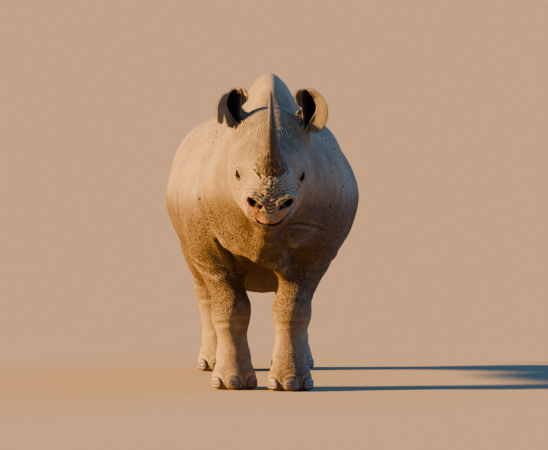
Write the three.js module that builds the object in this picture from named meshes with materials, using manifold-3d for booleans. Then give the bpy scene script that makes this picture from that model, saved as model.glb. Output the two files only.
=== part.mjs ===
// A black rhinoceros, life size, standing square to the front with one forefoot set inwards.
// Millimetres, +Z up. It faces -Y, its left side is +X, and the soles stand on Z = 0.
//
// The animal is described as a smooth field: a lofted trunk and neck, with muscles, limb bones and
// head forms blended onto it. Where the field is negative there is flesh. The flesh is then turned
// into faceted solids region by region and parted with thin flat cuts at the joints of the body.
import * as THREE from "three";
import { mergeVertices } from "three/addons/utils/BufferGeometryUtils.js";
import Module from "manifold-3d";

const wasm = await Module();
wasm.setup();

// ---------------------------------------------------------------- driving dimensions
const CUT = 0.4; // width of the gap that parts two neighbouring nodes
const HEAD_PLACE = [-32, -1124, 1088]; // midway between the eyes
const HEAD_PITCH = 15; // degrees the nose points down
const HEAD_TURN = -2.4; // degrees the nose points to the animal's right
const HEAD_ROLL = 1.6; // degrees the poll leans to the animal's left
const EYE_RADIUS = 19;
const EYE_DEPTH = 12; // from the skin to the middle of the eyeball
const NAIL_ANGLES = { outer: 52, front: 2, inner: -50 }; // round the toe, from straight ahead

// ---------------------------------------------------------------- small helpers
const rad = THREE.MathUtils.degToRad;
const vec = (p) => new THREE.Vector3(...p);

// A smooth curve through rows of numbers whose first entry is the station along the axis.
function splineThrough(rows) {
  const width = rows[0].length;
  const slope = (i, c) => {
    const a = rows[Math.max(i - 1, 0)];
    const b = rows[Math.min(i + 1, rows.length - 1)];
    return (b[c] - a[c]) / (b[0] - a[0]);
  };
  return (at) => {
    const s = Math.min(Math.max(at, rows[0][0]), rows[rows.length - 1][0]);
    let i = 0;
    while (i < rows.length - 2 && s > rows[i + 1][0]) i += 1;
    const step = rows[i + 1][0] - rows[i][0];
    const t = (s - rows[i][0]) / step;
    const found = [s];
    for (let c = 1; c < width; c += 1) {
      const [p, q] = [rows[i][c], rows[i + 1][c]];
      const [m, n] = [slope(i, c) * step, slope(i + 1, c) * step];
      found.push(
        p + t * (m + t * (3 * (q - p) - 2 * m - n + t * (m + n - 2 * (q - p)))),
      );
    }
    return found;
  };
}

const smoothMin = (a, b, k) => {
  const h = Math.max(k - Math.abs(a - b), 0) / k;
  return Math.min(a, b) - (h * h * k) / 4;
};

// ---------------------------------------------------------------- forms that the flesh is blended from
// An ellipsoid: centre, radii, degrees of tilt about X, and how widely it blends.
function ball(centre, radii, tilt = 0, blend = 60) {
  const [cx, cy, cz] = centre;
  const [rx, ry, rz] = radii;
  const [c, s] = [Math.cos(rad(tilt)), Math.sin(rad(tilt))];
  const reach = Math.max(rx, ry, rz) + blend;
  const field = (x, y, z) => {
    const px = x - cx;
    const py = c * (y - cy) + s * (z - cz);
    const pz = -s * (y - cy) + c * (z - cz);
    const far = Math.hypot(px, py, pz);
    if (far > reach + 150) return far - reach + blend;
    const k0 = Math.hypot(px / rx, py / ry, pz / rz);
    const k1 = Math.hypot(px / (rx * rx), py / (ry * ry), pz / (rz * rz));
    return k1 > 0 ? (k0 * (k0 - 1)) / k1 : -Math.min(rx, ry, rz);
  };
  return { field, blend };
}

// A tapered limb length between two points, its section squeezed sideways by flat.
function limb(a, ra, b, rb, flat = 1, blend = 60) {
  const axis = vec(b).sub(vec(a));
  const lengthSq = axis.lengthSq();
  const field = (x, y, z) => {
    const [px, py, pz] = [x - a[0], y - a[1], z - a[2]];
    let t = (px * axis.x + py * axis.y + pz * axis.z) / lengthSq;
    t = Math.min(Math.max(t, 0), 1);
    const qx = (px - t * axis.x) / flat;
    const far = Math.hypot(qx, py - t * axis.y, pz - t * axis.z);
    return (far - (ra + (rb - ra) * t)) * Math.min(flat, 1);
  };
  return { field, blend };
}

const blended = (forms, x, y, z, start = Infinity) =>
  forms.reduce((d, f) => {
    const own = f.field(x, y, z);
    return d === Infinity ? own : smoothMin(d, own, f.blend);
  }, start);

// ---------------------------------------------------------------- trunk and neck
// Stations from the head to the rump: y, crown, widest, keel, half width, squareness above and
// below, and how far the middle plane sways to one side.
const TRUNK = [
  [-1000, 1330, 1140, 955, 150, 2.0, 2.0, -38],
  [-860, 1383, 1110, 868, 196, 1.9, 2.0, -32],
  [-700, 1412, 1070, 785, 252, 1.7, 1.9, -22],
  [-560, 1450, 1020, 706, 312, 1.5, 1.9, -10],
  [-420, 1480, 965, 632, 362, 1.38, 2.0, -3],
  [-250, 1496, 930, 575, 392, 1.36, 2.1, 0],
  [0, 1442, 925, 520, 430, 1.45, 2.1, 0],
  [300, 1390, 920, 452, 472, 1.68, 1.84, 0],
  [550, 1370, 910, 424, 482, 1.82, 1.78, -2],
  [780, 1356, 910, 488, 466, 2.0, 1.82, -8],
  [980, 1335, 930, 600, 432, 2.25, 2.0, -18],
  [1140, 1305, 960, 720, 374, 2.15, 2.0, -20],
  [1290, 1220, 980, 800, 254, 2.0, 2.0, -16],
];
const trunkAt = splineThrough(TRUNK);
const trunkEnds = [TRUNK[0][0], TRUNK[TRUNK.length - 1][0]];

function trunkField(x, y, z) {
  const [, crown, widest, keel, half, above, below, sway] = trunkAt(y);
  const up = z > widest;
  const n = up ? above : below;
  const [px, pz] = [Math.abs(x - sway), Math.abs(z - widest)];
  const tall = up ? crown - widest : widest - keel;
  const share = ((px / half) ** n + (pz / tall) ** n) ** (1 / n);
  const far = Math.hypot(px, pz);
  const side = share > 1e-6 ? far * (1 - 1 / share) : -Math.min(half, tall);
  const past = Math.max(trunkEnds[0] - y, y - trunkEnds[1], 0);
  return past > 0 ? Math.hypot(Math.max(side, 0), past) : side;
}

const TORSO_FORMS = [
  ball([0, -300, 1402], [86, 350, 138], -5, 110), // withers ridge
  ball([-6, 900, 1285], [110, 360, 100], 5, 160), // croup
  ball([158, 1215, 955], [176, 185, 260], -8, 110), // buttocks
  ball([-180, 1205, 955], [178, 190, 265], -8, 110),
  ball([-10, 1225, 1075], [92, 120, 215], -6, 120), // root of the tail
  ball([0, -560, 790], [165, 130, 150], -20, 130), // brisket
];

// ---------------------------------------------------------------- legs
// Joint places of each leg, from the body down. The soles are flat on Z = 0.
const FORELEGS = {
  right: {
    blade: [-235, -250, 1000],
    elbow: [-262, -175, 700],
    carpus: [-185, -262, 385],
    fetlock: [-174, -262, 150],
    foot: [-172, -285, 50],
  },
  left: {
    blade: [226, -290, 1000],
    elbow: [198, -245, 700],
    carpus: [106, -350, 385],
    fetlock: [98, -372, 150],
    foot: [98, -398, 50],
  },
};
const HIND_LEGS = {
  right: {
    hip: [-226, 1000, 930],
    stifle: [-266, 860, 700],
    hock: [-228, 1075, 430],
    fetlock: [-208, 1035, 150],
    foot: [-207, 1005, 50],
  },
  left: {
    hip: [206, 1050, 890],
    stifle: [222, 940, 700],
    hock: [190, 1165, 430],
    fetlock: [178, 1140, 150],
    foot: [176, 1112, 50],
  },
};

const shift = (p, x, y, z) => [p[0] + x, p[1] + y, p[2] + z];

// A foot: the pastern, the round pad, and a bulge for each of the three toes.
const PAD = [104, 114, 84];
const TOE = [50, 58, 58];
function footForms(fetlock, foot, out, size) {
  const toes = Object.values(NAIL_ANGLES).map((angle) => {
    const [side, ahead] = [Math.sin(rad(angle)), Math.cos(rad(angle))];
    const centre = shift(foot, side * out * 60 * size, 8 - ahead * 62 * size, -8);
    return ball(centre, [TOE[0] * size, TOE[1] * size, TOE[2]], 0, 24);
  });
  return [
    limb(fetlock, 78 * size, shift(foot, 0, 6, 24), 92 * size, 1, 40),
    ball(shift(foot, 0, 8, 0), [PAD[0] * size, PAD[1] * size, PAD[2]], 0, 40),
    ...toes,
  ];
}

function forelegForms({ blade, elbow, carpus, fetlock, foot }, out) {
  return [
    ball(shift(blade, 16 * out, 0, 0), [132, 200, 300], -14, 120), // shoulder muscles
    ball(shift(elbow, 14 * out, -24, 80), [112, 172, 180], -12, 110), // upper arm
    limb(shift(elbow, 4 * out, -14, -16), 122, shift(carpus, 0, 0, 30), 84, 0.94, 70),
    ball(shift(elbow, 4 * out, 92, 20), [66, 76, 96], 0, 80), // point of the elbow
    ball(shift(carpus, 0, -10, 0), [84, 90, 92], 0, 60), // knee
    limb(shift(carpus, 0, 4, -40), 80, fetlock, 74, 1, 60),
    ...footForms(fetlock, foot, out, 1),
  ];
}

function hindLegForms({ hip, stifle, hock, fetlock, foot }, out) {
  return [
    ball(shift(hip, 16 * out, 0, 0), [160, 255, 290], 10, 120), // thigh
    ball(shift(stifle, 0, 85, 0), [112, 220, 205], 16, 100), // knee and shank
    limb(shift(stifle, 0, 110, -60), 136, hock, 88, 0.88, 80),
    ball(shift(hock, 0, 78, 36), [46, 52, 96], 14, 70), // heel
    ball(shift(hock, 0, 2, 0), [88, 94, 92], 0, 60),
    limb(shift(hock, 0, 4, -40), 84, fetlock, 74, 0.97, 60),
    ...footForms(fetlock, foot, out, 0.95),
  ];
}

// Each leg with its joints, its forms, and which way is outwards.
const leg = (forms, joints, out) => ({ forms: forms(joints, out), joints, out });
const LEGS = {
  foreleg_right: leg(forelegForms, FORELEGS.right, -1),
  foreleg_left: leg(forelegForms, FORELEGS.left, 1),
  hindleg_right: leg(hindLegForms, HIND_LEGS.right, -1),
  hindleg_left: leg(hindLegForms, HIND_LEGS.left, 1),
};
const LEG_SPAN = 420; // beyond this from its knee or hock, sideways or lengthwise, a leg doesn't count
const LEG_BLEND = 90;

function legField({ forms, joints }, x, y, z) {
  const middle = joints.carpus ?? joints.hock;
  const away = Math.max(Math.abs(x - middle[0]), Math.abs(y - middle[1])) - LEG_SPAN;
  return away > 200 ? away : blended(forms, x, y, z);
}

// ---------------------------------------------------------------- head
// Head frame: x sideways, measured from the middle plane, y forwards, z up, origin between the eyes.
const HEAD_FORMS = [
  ball([0, -120, 50], [160, 185, 172], 0, 60), // braincase and jaw muscles
  ball([0, -220, 165], [134, 80, 92], 12, 70), // poll
  ball([118, -200, 128], [60, 66, 70], 0, 50), // ear roots
  ball([98, -58, 26], [80, 125, 88], -8, 60), // cheekbones
  ball([82, -125, -92], [84, 165, 134], 0, 70), // angle of the jaw
  ball([0, 30, -118], [136, 225, 106], -6, 70), // mandible
  limb([0, -40, -12], 128, [0, 262, -42], 84, 1.22, 70), // face down to the muzzle
  ball([0, 40, 78], [100, 120, 58], -6, 80), // boss under the rear horn
  ball([0, 212, 42], [102, 104, 70], -14, 60), // boss under the front horn
  ball([76, 258, -54], [52, 66, 54], -20, 50), // nostrils
  ball([0, 286, -94], [86, 60, 58], -20, 50), // upper lip
  ball([0, 326, -146], [34, 30, 42], -16, 40), // hooked tip
  ball([0, 214, -156], [88, 84, 42], 10, 40), // lower lip
];

// The head's own axes: its left side, straight ahead along the nose, and up.
const headTurn = new THREE.Matrix4()
  .makeRotationZ(rad(HEAD_TURN))
  .multiply(new THREE.Matrix4().makeRotationX(rad(HEAD_PITCH)))
  .multiply(new THREE.Matrix4().makeRotationY(rad(HEAD_ROLL)));
const headAxes = [0, 1, 2].map((c) => {
  const axis = new THREE.Vector3().setFromMatrixColumn(headTurn, c);
  return (c === 1 ? axis.negate() : axis).toArray();
});

// World point to head frame, and back.
function intoHead(x, y, z) {
  const [px, py, pz] = [x - HEAD_PLACE[0], y - HEAD_PLACE[1], z - HEAD_PLACE[2]];
  return headAxes.map((a) => a[0] * px + a[1] * py + a[2] * pz);
}
function outOfHead(p) {
  return [0, 1, 2].map(
    (c) => HEAD_PLACE[c] + p[0] * headAxes[0][c] + p[1] * headAxes[1][c] + p[2] * headAxes[2][c],
  );
}

function headField(x, y, z) {
  const far = Math.hypot(x - HEAD_PLACE[0], y - HEAD_PLACE[1], z - HEAD_PLACE[2]);
  if (far > 650) return far - 450;
  const [side, forward, high] = intoHead(x, y, z);
  return blended(HEAD_FORMS, Math.abs(side), forward, high);
}

// ---------------------------------------------------------------- the whole animal
const HEAD_BLEND = 110;

function flesh(x, y, z) {
  let d = trunkField(x, y, z);
  for (const f of TORSO_FORMS) d = smoothMin(d, f.field(x, y, z), f.blend);
  for (const each of Object.values(LEGS)) d = smoothMin(d, legField(each, x, y, z), LEG_BLEND);
  return y < -500 ? smoothMin(d, headField(x, y, z), HEAD_BLEND) : d;
}

// ---------------------------------------------------------------- from field to facets
const CORNERS = [0, 1, 2, 3, 4, 5, 6, 7].map((c) => [c & 1, (c >> 1) & 1, c >> 2]);
const EDGES = CORNERS.flatMap((_, a) =>
  [1, 2, 4].filter((bit) => !(a & bit)).map((bit) => [a, a | bit]),
);
const AHEAD = [
  [1, 0, 0],
  [0, 1, 0],
  [0, 0, 1],
];
// The four cells round a grid edge that runs along X, Y or Z.
const AROUND = [
  [[0, -1, -1], [0, 0, -1], [0, 0, 0], [0, -1, 0]],
  [[-1, 0, -1], [-1, 0, 0], [0, 0, 0], [0, 0, -1]],
  [[-1, -1, 0], [0, -1, 0], [0, 0, 0], [-1, 0, 0]],
];

// Moves a point along the field's slope until it lies on the surface, by a limited amount.
function settled(field, start, most) {
  let p = start;
  for (let turn = 0; turn < 5; turn += 1) {
    const v = field(...p);
    const slope = AHEAD.map((e) => (field(p[0] + 2 * e[0], p[1] + 2 * e[1], p[2] + 2 * e[2]) - v) / 2);
    const steep = Math.hypot(...slope) || 1;
    const step = THREE.MathUtils.clamp(v / steep, -most, most);
    p = p.map((q, c) => q - (step * slope[c]) / steep);
  }
  return p;
}

// Faceted surface of a field inside a box: one vertex for each grid cell that the surface crosses,
// pulled onto the surface, and one quad for each grid edge that it crosses.
function facet(field, low, high, cell) {
  const size = low.map((l, c) => Math.ceil((high[c] - l) / cell) + 1);
  const place = (g) => low.map((l, c) => l + g[c] * cell);
  const at = (i, j, k) => (k * size[1] + j) * size[0] + i;
  const value = new Float64Array(size[0] * size[1] * size[2]);
  const onBorder = (g) => g.some((v, c) => v === 0 || v === size[c] - 1);
  const everyPoint = (short, use) => {
    for (let k = 0; k < size[2] - short; k += 1)
      for (let j = 0; j < size[1] - short; j += 1)
        for (let i = 0; i < size[0] - short; i += 1) use(i, j, k);
  };
  everyPoint(0, (i, j, k) => {
    const v = field(...place([i, j, k])) || 1e-6;
    value[at(i, j, k)] = onBorder([i, j, k]) ? Math.max(v, 1) : v;
  });

  const vertices = [];
  const known = new Map();
  function vertexIn(i, j, k) {
    const key = at(i, j, k);
    if (known.has(key)) return known.get(key);
    const sum = [0, 0, 0];
    let hits = 0;
    for (const [a, b] of EDGES) {
      const [pa, pb] = [CORNERS[a], CORNERS[b]];
      const [va, vb] = [pa, pb].map((p) => value[at(i + p[0], j + p[1], k + p[2])]);
      if (va < 0 === vb < 0) continue;
      const t = va / (va - vb);
      sum.forEach((_, c) => (sum[c] += pa[c] + t * (pb[c] - pa[c])));
      hits += 1;
    }
    const start = place([i, j, k]).map((p, c) => p + (sum[c] / hits) * cell);
    const inner = start.every((v, c) => v > low[c] + cell && v < high[c] - cell);
    known.set(key, vertices.length / 3);
    vertices.push(...(inner ? settled(field, start, cell / 3) : start));
    return known.get(key);
  }

  const triangles = [];
  const far = (m, n) =>
    Math.hypot(...[0, 1, 2].map((c) => vertices[3 * m + c] - vertices[3 * n + c]));
  function quad(corners, flip) {
    const [a, b, c, d] = flip ? corners.reverse() : corners;
    if (far(a, c) < far(b, d)) triangles.push(a, b, c, a, c, d);
    else triangles.push(a, b, d, b, c, d);
  }
  everyPoint(1, (i, j, k) => {
    const inside = value[at(i, j, k)] < 0;
    AHEAD.forEach((e, axis) => {
      if (inside === value[at(i + e[0], j + e[1], k + e[2])] < 0) return;
      const corners = AROUND[axis].map((o) => vertexIn(i + o[0], j + o[1], k + o[2]));
      quad(corners, !inside);
    });
  });
  return { vertices, triangles };
}

// ---------------------------------------------------------------- solids
const solidOf = ({ vertices, triangles }) =>
  new wasm.Manifold(
    new wasm.Mesh({
      numProp: 3,
      vertProperties: new Float32Array(vertices),
      triVerts: new Uint32Array(triangles),
    }),
  );

function solidOfGeometry(geometry, matrix) {
  const bare = geometry.clone().applyMatrix4(matrix);
  bare.deleteAttribute("normal");
  bare.deleteAttribute("uv");
  const merged = mergeVertices(bare, 1e-3);
  return solidOf({ vertices: merged.attributes.position.array, triangles: merged.index.array });
}

// A block that covers everything ahead of a plane, pushed back from it by half a cut.
const HUGE = 5000;
function aheadOf({ point, facing }, gap = CUT / 2) {
  const normal = vec(facing).normalize();
  const turn = new THREE.Quaternion().setFromUnitVectors(new THREE.Vector3(0, 0, 1), normal);
  const centre = vec(point).addScaledVector(normal, HUGE / 2 + gap);
  const matrix = new THREE.Matrix4().compose(centre, turn, new THREE.Vector3(1, 1, 1));
  return solidOfGeometry(new THREE.BoxGeometry(HUGE, HUGE, HUGE), matrix);
}
const facingBack = ({ point, facing }) => ({ point, facing: facing.map((v) => -v) });
const behind = (plane, gap) => aheadOf(facingBack(plane), gap);

// A body of rings, each a closed loop of the same number of points, with its two ends closed by
// strips between the two halves of the loop.
function ringed(rings) {
  const n = rings[0].length;
  const triangles = [];
  for (let r = 0; r < rings.length - 1; r += 1)
    for (let i = 0; i < n; i += 1) {
      const [a, b] = [r * n + i, r * n + ((i + 1) % n)];
      triangles.push(a, b, b + n, a, b + n, a + n);
    }
  const last = (rings.length - 1) * n;
  for (let i = 0; i < n / 2 - 1; i += 1) {
    const [a, b, c, d] = [i, i + 1, n - 2 - i, n - 1 - i];
    triangles.push(a, c, b, a, d, c);
    triangles.push(last + a, last + b, last + c, last + a, last + c, last + d);
  }
  return { vertices: rings.flat(2), triangles };
}

// A round body along a curve: rows of centre, radius across and depth in parts of that radius,
// swept in smooth steps and grown by extra all round.
function roundBody(rows, steps, sides, extra = 0) {
  const rowAt = splineThrough(
    rows.map(([x, y, z, radius, deep = 1], i) => [i / (rows.length - 1), x, y, z, radius, deep]),
  );
  const pointAt = (t) => vec(rowAt(t).slice(1, 4));
  const rings = [];
  for (let s = 0; s <= steps; s += 1) {
    const t = s / steps;
    const along = pointAt(t + 0.01).sub(pointAt(t - 0.01)).normalize();
    const end = s === 0 ? -extra : s === steps ? extra : 0;
    const centre = pointAt(t).addScaledVector(along, end);
    const across = new THREE.Vector3(1, 0, 0).addScaledVector(along, -along.x).normalize();
    const up = along.clone().cross(across);
    const [radius, deep] = rowAt(t).slice(4);
    rings.push(
      Array.from({ length: sides }, (_, i) => {
        const angle = (2 * Math.PI * i) / sides;
        return centre
          .clone()
          .addScaledVector(across, (radius + extra) * Math.cos(angle))
          .addScaledVector(up, (radius * deep + extra) * Math.sin(angle))
          .toArray();
      }),
    );
  }
  return solidOf(ringed(rings));
}

// ---------------------------------------------------------------- horns and tail
// Rows from the root up: centre in the head frame, radius across, and its depth in parts of that.
const HORNS = {
  horn_front: [
    [4, 192, 60, 84, 1.04],
    [4, 226, 122, 72, 1.04],
    [3, 254, 172, 53, 1.12],
    [1, 272, 240, 35, 1.2],
    [-2, 275, 320, 25, 1.2],
    [-6, 262, 400, 14, 1.15],
    [-9, 236, 482, 3.5, 1],
  ],
  horn_rear: [
    [0, 36, 96, 54, 1.2],
    [0, 44, 142, 43, 1.2],
    [-1, 56, 210, 26, 1.2],
    [-3, 56, 270, 13, 1.1],
    [-5, 48, 318, 3.5, 1],
  ],
};
const hornBody = (rows, extra) =>
  roundBody(
    rows.map(([side, forward, high, radius, deep]) => [
      ...outOfHead([side, forward, high]),
      radius,
      deep,
    ]),
    9,
    10,
    extra,
  );

const TAIL = [
  [-10, 1300, 1240, 58],
  [-10, 1392, 1176, 48],
  [-10, 1444, 1050, 36],
  [-10, 1462, 900, 28],
  [-9, 1458, 740, 21],
  [-8, 1452, 620, 16, 1.5],
  [-8, 1454, 520, 5, 1.6],
];
const tailBody = (extra) => roundBody(TAIL, 10, 8, extra);

// ---------------------------------------------------------------- ears
// An ear is an upright cup that opens to the front. Its sections are arcs from rim to rim, given
// from the root up: height, radius, half the arc's sweep in degrees, and wall.
const EAR_SECTIONS = [
  [-30, 52, 158, 14],
  [4, 71, 128, 13],
  [38, 80, 112, 11],
  [80, 81, 104, 10],
  [126, 73, 98, 9],
  [162, 55, 92, 8],
  [184, 24, 80, 8],
];
const EARS = {
  ear_right: { root: [-170, -192, 176], lean: [-0.08, 0.02, 1], open: [0.3, -1, 0.05] },
  ear_left: { root: [180, -192, 168], lean: [0.05, 0.02, 1], open: [-0.32, -1, 0.05] },
};
const EAR_STEPS = 9;

function earBody({ root, lean, open }, extra = 0) {
  const up = vec(lean).normalize();
  const front = vec(open).addScaledVector(up, -vec(open).dot(up)).normalize();
  const side = front.clone().cross(up);
  const start = vec(outOfHead(root));
  const ends = EAR_SECTIONS.length - 1;
  const rings = EAR_SECTIONS.map(([height, radius, sweep, wall], row) => {
    const end = row === 0 ? -extra : row === ends ? extra : 0;
    const centre = start.clone().addScaledVector(up, height + end);
    const arc = (r, back) =>
      Array.from({ length: EAR_STEPS }, (_, i) => {
        const share = ((2 * i) / (EAR_STEPS - 1) - 1) * (back ? -1 : 1);
        const rimGrowth = Math.abs(share) === 1 ? (row === 0 ? 2 : 1) : 0;
        const angle = share * (rad(sweep) + (rimGrowth * extra) / radius);
        return centre
          .clone()
          .addScaledVector(side, r * Math.sin(angle))
          .addScaledVector(front, -r * Math.cos(angle))
          .toArray();
      });
    return [...arc(radius + extra, false), ...arc(radius - wall - extra, true)];
  });
  return solidOf(ringed(rings));
}

// ---------------------------------------------------------------- where the flesh is parted
const NAPE = { point: [-30, -872, 1120], facing: [0, -1, 0.06] };
const NECK_ROOT = { point: [0, -540, 1050], facing: [0, -1, 0.22] };
const GIRTH = { point: [0, 30, 900], facing: [0, -1, 0] };
const LOIN = { point: [0, 715, 900], facing: [0, -1, 0] };
const FORE_ELBOWS = { point: [0, -300, 554], facing: [0, -0.2, -1] };
const HIND_KNEES = { point: [0, 1000, 552], facing: [0, 0.33, -1] };
const FLOOR = { point: [0, 0, 0], facing: [0, 0, 1] };
const headPlane = (point, facing) => {
  const [from, to] = [outOfHead(point), outOfHead(point.map((v, c) => v + facing[c]))];
  return { point: from, facing: to.map((v, c) => v - from[c]) };
};
const MOUTH = headPlane([0, 300, -118], [0, -0.1, -1]);
const BEHIND_LIP = headPlane([0, 282, -118], [0, -1, -0.15]);

const CELL = { head: 40, neck: 92, trunk: 122, leg: 68, foot: 54 }; // facet size

// Flesh inside a box, faceted at a given cell size and kept where every block covers it.
function parted(low, high, cell, blocks) {
  const whole = solidOf(facet(flesh, low, high, cell));
  return blocks.reduce((solid, block) => solid.intersect(block), whole);
}

const jaw = (gap) => aheadOf(MOUTH, gap).intersect(aheadOf(BEHIND_LIP, gap));
const front = parted([-372, -1624, 740], [300, -764, 1480], CELL.head, [aheadOf(NAPE)]);
const fleshNodes = {
  head: front.subtract(jaw(-CUT / 2)),
  lower_jaw: front.intersect(jaw(CUT / 2)),
  neck: parted([-526, -1000, 600], [500, -420, 1640], CELL.neck, [behind(NAPE), aheadOf(NECK_ROOT)]),
  chest: parted([-671, -800, 440], [671, 160, 1700], CELL.trunk, [
    behind(NECK_ROOT),
    aheadOf(GIRTH),
    behind(FORE_ELBOWS),
  ]),
  barrel: parted([-671, -100, 340], [671, 845, 1600], CELL.trunk, [behind(GIRTH), aheadOf(LOIN)]),
  rump: parted([-671, 600, 340], [671, 1560, 1560], CELL.trunk, [behind(LOIN), behind(HIND_KNEES)]),
};

// Each leg below the trunk is parted at the knee or hock and above the foot.
const LEG_BOXES = {
  foreleg_right: [[-440, -520, -60], [-40, 60, 680]],
  foreleg_left: [[-40, -620, -60], [420, 0, 680]],
  hindleg_right: [[-500, 740, -60], [-30, 1340, 780]],
  hindleg_left: [[-30, 840, -60], [440, 1420, 780]],
};
const below = (z) => ({ point: [0, 0, z], facing: [0, 0, -1] });
const FOOT_TOP = below(158);
const LEG_MIDDLES = { foreleg: below(372), hindleg: below(400) };
const footOf = (legName) => legName.replace("leg", "foot");
for (const [name, [low, high]] of Object.entries(LEG_BOXES)) {
  const kind = name.split("_")[0];
  const top = kind === "foreleg" ? FORE_ELBOWS : HIND_KNEES;
  const shank = parted(low, high, CELL.leg, [aheadOf(top), behind(FOOT_TOP)]);
  const footHigh = [high[0], high[1], 240];
  fleshNodes[`${name}_upper`] = shank.intersect(behind(LEG_MIDDLES[kind]));
  fleshNodes[`${name}_lower`] = shank.intersect(aheadOf(LEG_MIDDLES[kind]));
  fleshNodes[footOf(name)] = parted(low, footHigh, CELL.foot, [aheadOf(FOOT_TOP), aheadOf(FLOOR, 0)]);
}

// ---------------------------------------------------------------- what is set into the flesh
// Each insert lies in a bed cut for it, one cut wider all round.
const inserts = {};
function setIn(name, carrier, make) {
  inserts[name] = make(0);
  fleshNodes[carrier] = fleshNodes[carrier].subtract(make(CUT));
}

for (const [name, rows] of Object.entries(HORNS))
  setIn(name, "head", (extra) => hornBody(rows, extra));
// A cup's walls lean, so its bed is grown by twice as much.
for (const [name, ear] of Object.entries(EARS))
  setIn(name, "head", (extra) => earBody(ear, 2 * extra));
setIn("tail", "rump", tailBody);

const upright = new THREE.Quaternion();
function oval(centre, radii, extra, round = 10, turn = upright) {
  const scale = vec(radii.map((r) => r + extra));
  const matrix = new THREE.Matrix4().compose(vec(centre), turn, scale);
  return solidOfGeometry(new THREE.SphereGeometry(1, round, Math.ceil(round * 0.6)), matrix);
}

// The eyes lie behind the lids, turned a little to the front.
const LIDS = { eye_right: [-151, 70, 16], eye_left: [166, 70, 16] };
for (const [name, place] of Object.entries(LIDS)) {
  const lid = settled(flesh, outOfHead(place), 30);
  const inwards = vec(outOfHead([0, -40, 0])).sub(vec(lid)).setLength(EYE_DEPTH);
  const centre = vec(lid).add(inwards).toArray();
  setIn(name, "head", (extra) => oval(centre, [EYE_RADIUS, EYE_RADIUS, EYE_RADIUS], extra));
}

// Nostrils are bored into the muzzle and open to the front and side.
const NOSTRIL = [15, 34, 21];
for (const side of [-1, 1]) {
  const centre = settled(flesh, outOfHead([84 * side + 3, 330, -48]), 30);
  fleshNodes.head = fleshNodes.head.subtract(oval(centre, NOSTRIL, 0));
}

// Three broad nails round the front of each foot.
const NAIL = [38, 14, 28];
const NAIL_HEIGHT = 35;
for (const [legName, { joints, out }] of Object.entries(LEGS)) {
  for (const [toe, angle] of Object.entries(NAIL_ANGLES)) {
    const turn = rad(angle * out);
    const start = shift(joints.foot, Math.sin(turn) * 120, -Math.cos(turn) * 120, 0);
    const [x, y] = settled(flesh, [start[0], start[1], NAIL_HEIGHT], 30);
    const facing = new THREE.Quaternion().setFromAxisAngle(new THREE.Vector3(0, 0, 1), turn);
    const foot = footOf(legName);
    setIn(`nail_${foot}_${toe}`, foot, (extra) =>
      oval([x, y, NAIL_HEIGHT], NAIL, extra, 7, facing),
    );
  }
}

// ---------------------------------------------------------------- the scene graph
const rhinoceros = new THREE.Group();
const HIDE = { color: 0x9b8a74, roughness: 0.92, metalness: 0 };
const HORN = { color: 0x5f5138, roughness: 0.6, metalness: 0 };
const NAILS = { color: 0x6b6152, roughness: 0.6, metalness: 0 };
const EYES = { color: 0x1a120c, roughness: 0.12, metalness: 0 };
const LOOKS = { horn: HORN, nail: NAILS, eye: EYES };
const lookOf = (name) => LOOKS[name.split("_")[0]] ?? HIDE;

for (const [name, solid] of Object.entries({ ...fleshNodes, ...inserts })) {
  const { vertProperties, triVerts } = solid.getMesh();
  const geometry = new THREE.BufferGeometry();
  geometry.setAttribute("position", new THREE.BufferAttribute(vertProperties, 3));
  geometry.setIndex(new THREE.BufferAttribute(triVerts, 1));
  geometry.computeVertexNormals();
  const mesh = new THREE.Mesh(geometry, new THREE.MeshStandardMaterial(lookOf(name)));
  mesh.name = name;
  rhinoceros.add(mesh);
}

export default rhinoceros;
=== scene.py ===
"""A black rhinoceros, life size: its hide, horns, eyes, nails and hair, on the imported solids.

The hide is one closed skin. Its shape is a smooth field, negative inside the flesh, blended from
the same trunk, muscles, limb bones and head forms as the solids, with the ears, lids, nostrils and
mouth added. The field is turned into a mesh, and then wrinkles and folds are pressed into it.
Lengths are in millimetres until a mesh is made, unless a comment says otherwise. The animal faces
-Y, its left is +X and Z is up.
"""

import math
from itertools import product

import bpy
import numpy as np
from mathutils import Matrix, Vector


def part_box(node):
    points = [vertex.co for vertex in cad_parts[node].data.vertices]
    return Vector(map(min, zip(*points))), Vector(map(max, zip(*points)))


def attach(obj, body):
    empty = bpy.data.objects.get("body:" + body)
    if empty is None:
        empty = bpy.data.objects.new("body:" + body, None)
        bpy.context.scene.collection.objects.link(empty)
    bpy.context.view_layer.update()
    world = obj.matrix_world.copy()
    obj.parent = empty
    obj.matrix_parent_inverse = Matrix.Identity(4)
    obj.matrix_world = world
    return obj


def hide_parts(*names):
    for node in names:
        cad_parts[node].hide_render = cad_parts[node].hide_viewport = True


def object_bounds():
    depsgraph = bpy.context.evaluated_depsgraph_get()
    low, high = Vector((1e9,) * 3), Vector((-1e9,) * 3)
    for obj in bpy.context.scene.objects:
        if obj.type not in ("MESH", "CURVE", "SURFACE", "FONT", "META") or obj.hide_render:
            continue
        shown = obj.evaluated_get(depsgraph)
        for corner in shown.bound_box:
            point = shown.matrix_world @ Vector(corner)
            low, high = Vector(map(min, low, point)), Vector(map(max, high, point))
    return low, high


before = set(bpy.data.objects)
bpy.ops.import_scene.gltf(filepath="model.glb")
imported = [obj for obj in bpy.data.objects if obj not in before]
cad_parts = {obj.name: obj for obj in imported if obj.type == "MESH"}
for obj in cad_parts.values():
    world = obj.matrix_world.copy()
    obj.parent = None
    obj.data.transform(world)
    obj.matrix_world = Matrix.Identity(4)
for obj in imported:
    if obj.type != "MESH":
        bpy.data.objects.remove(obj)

CAD_LOW, CAD_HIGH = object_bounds()
MODEL_HEIGHT = 1549.2  # from the soles to the top of the withers, in the lengths used below
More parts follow.
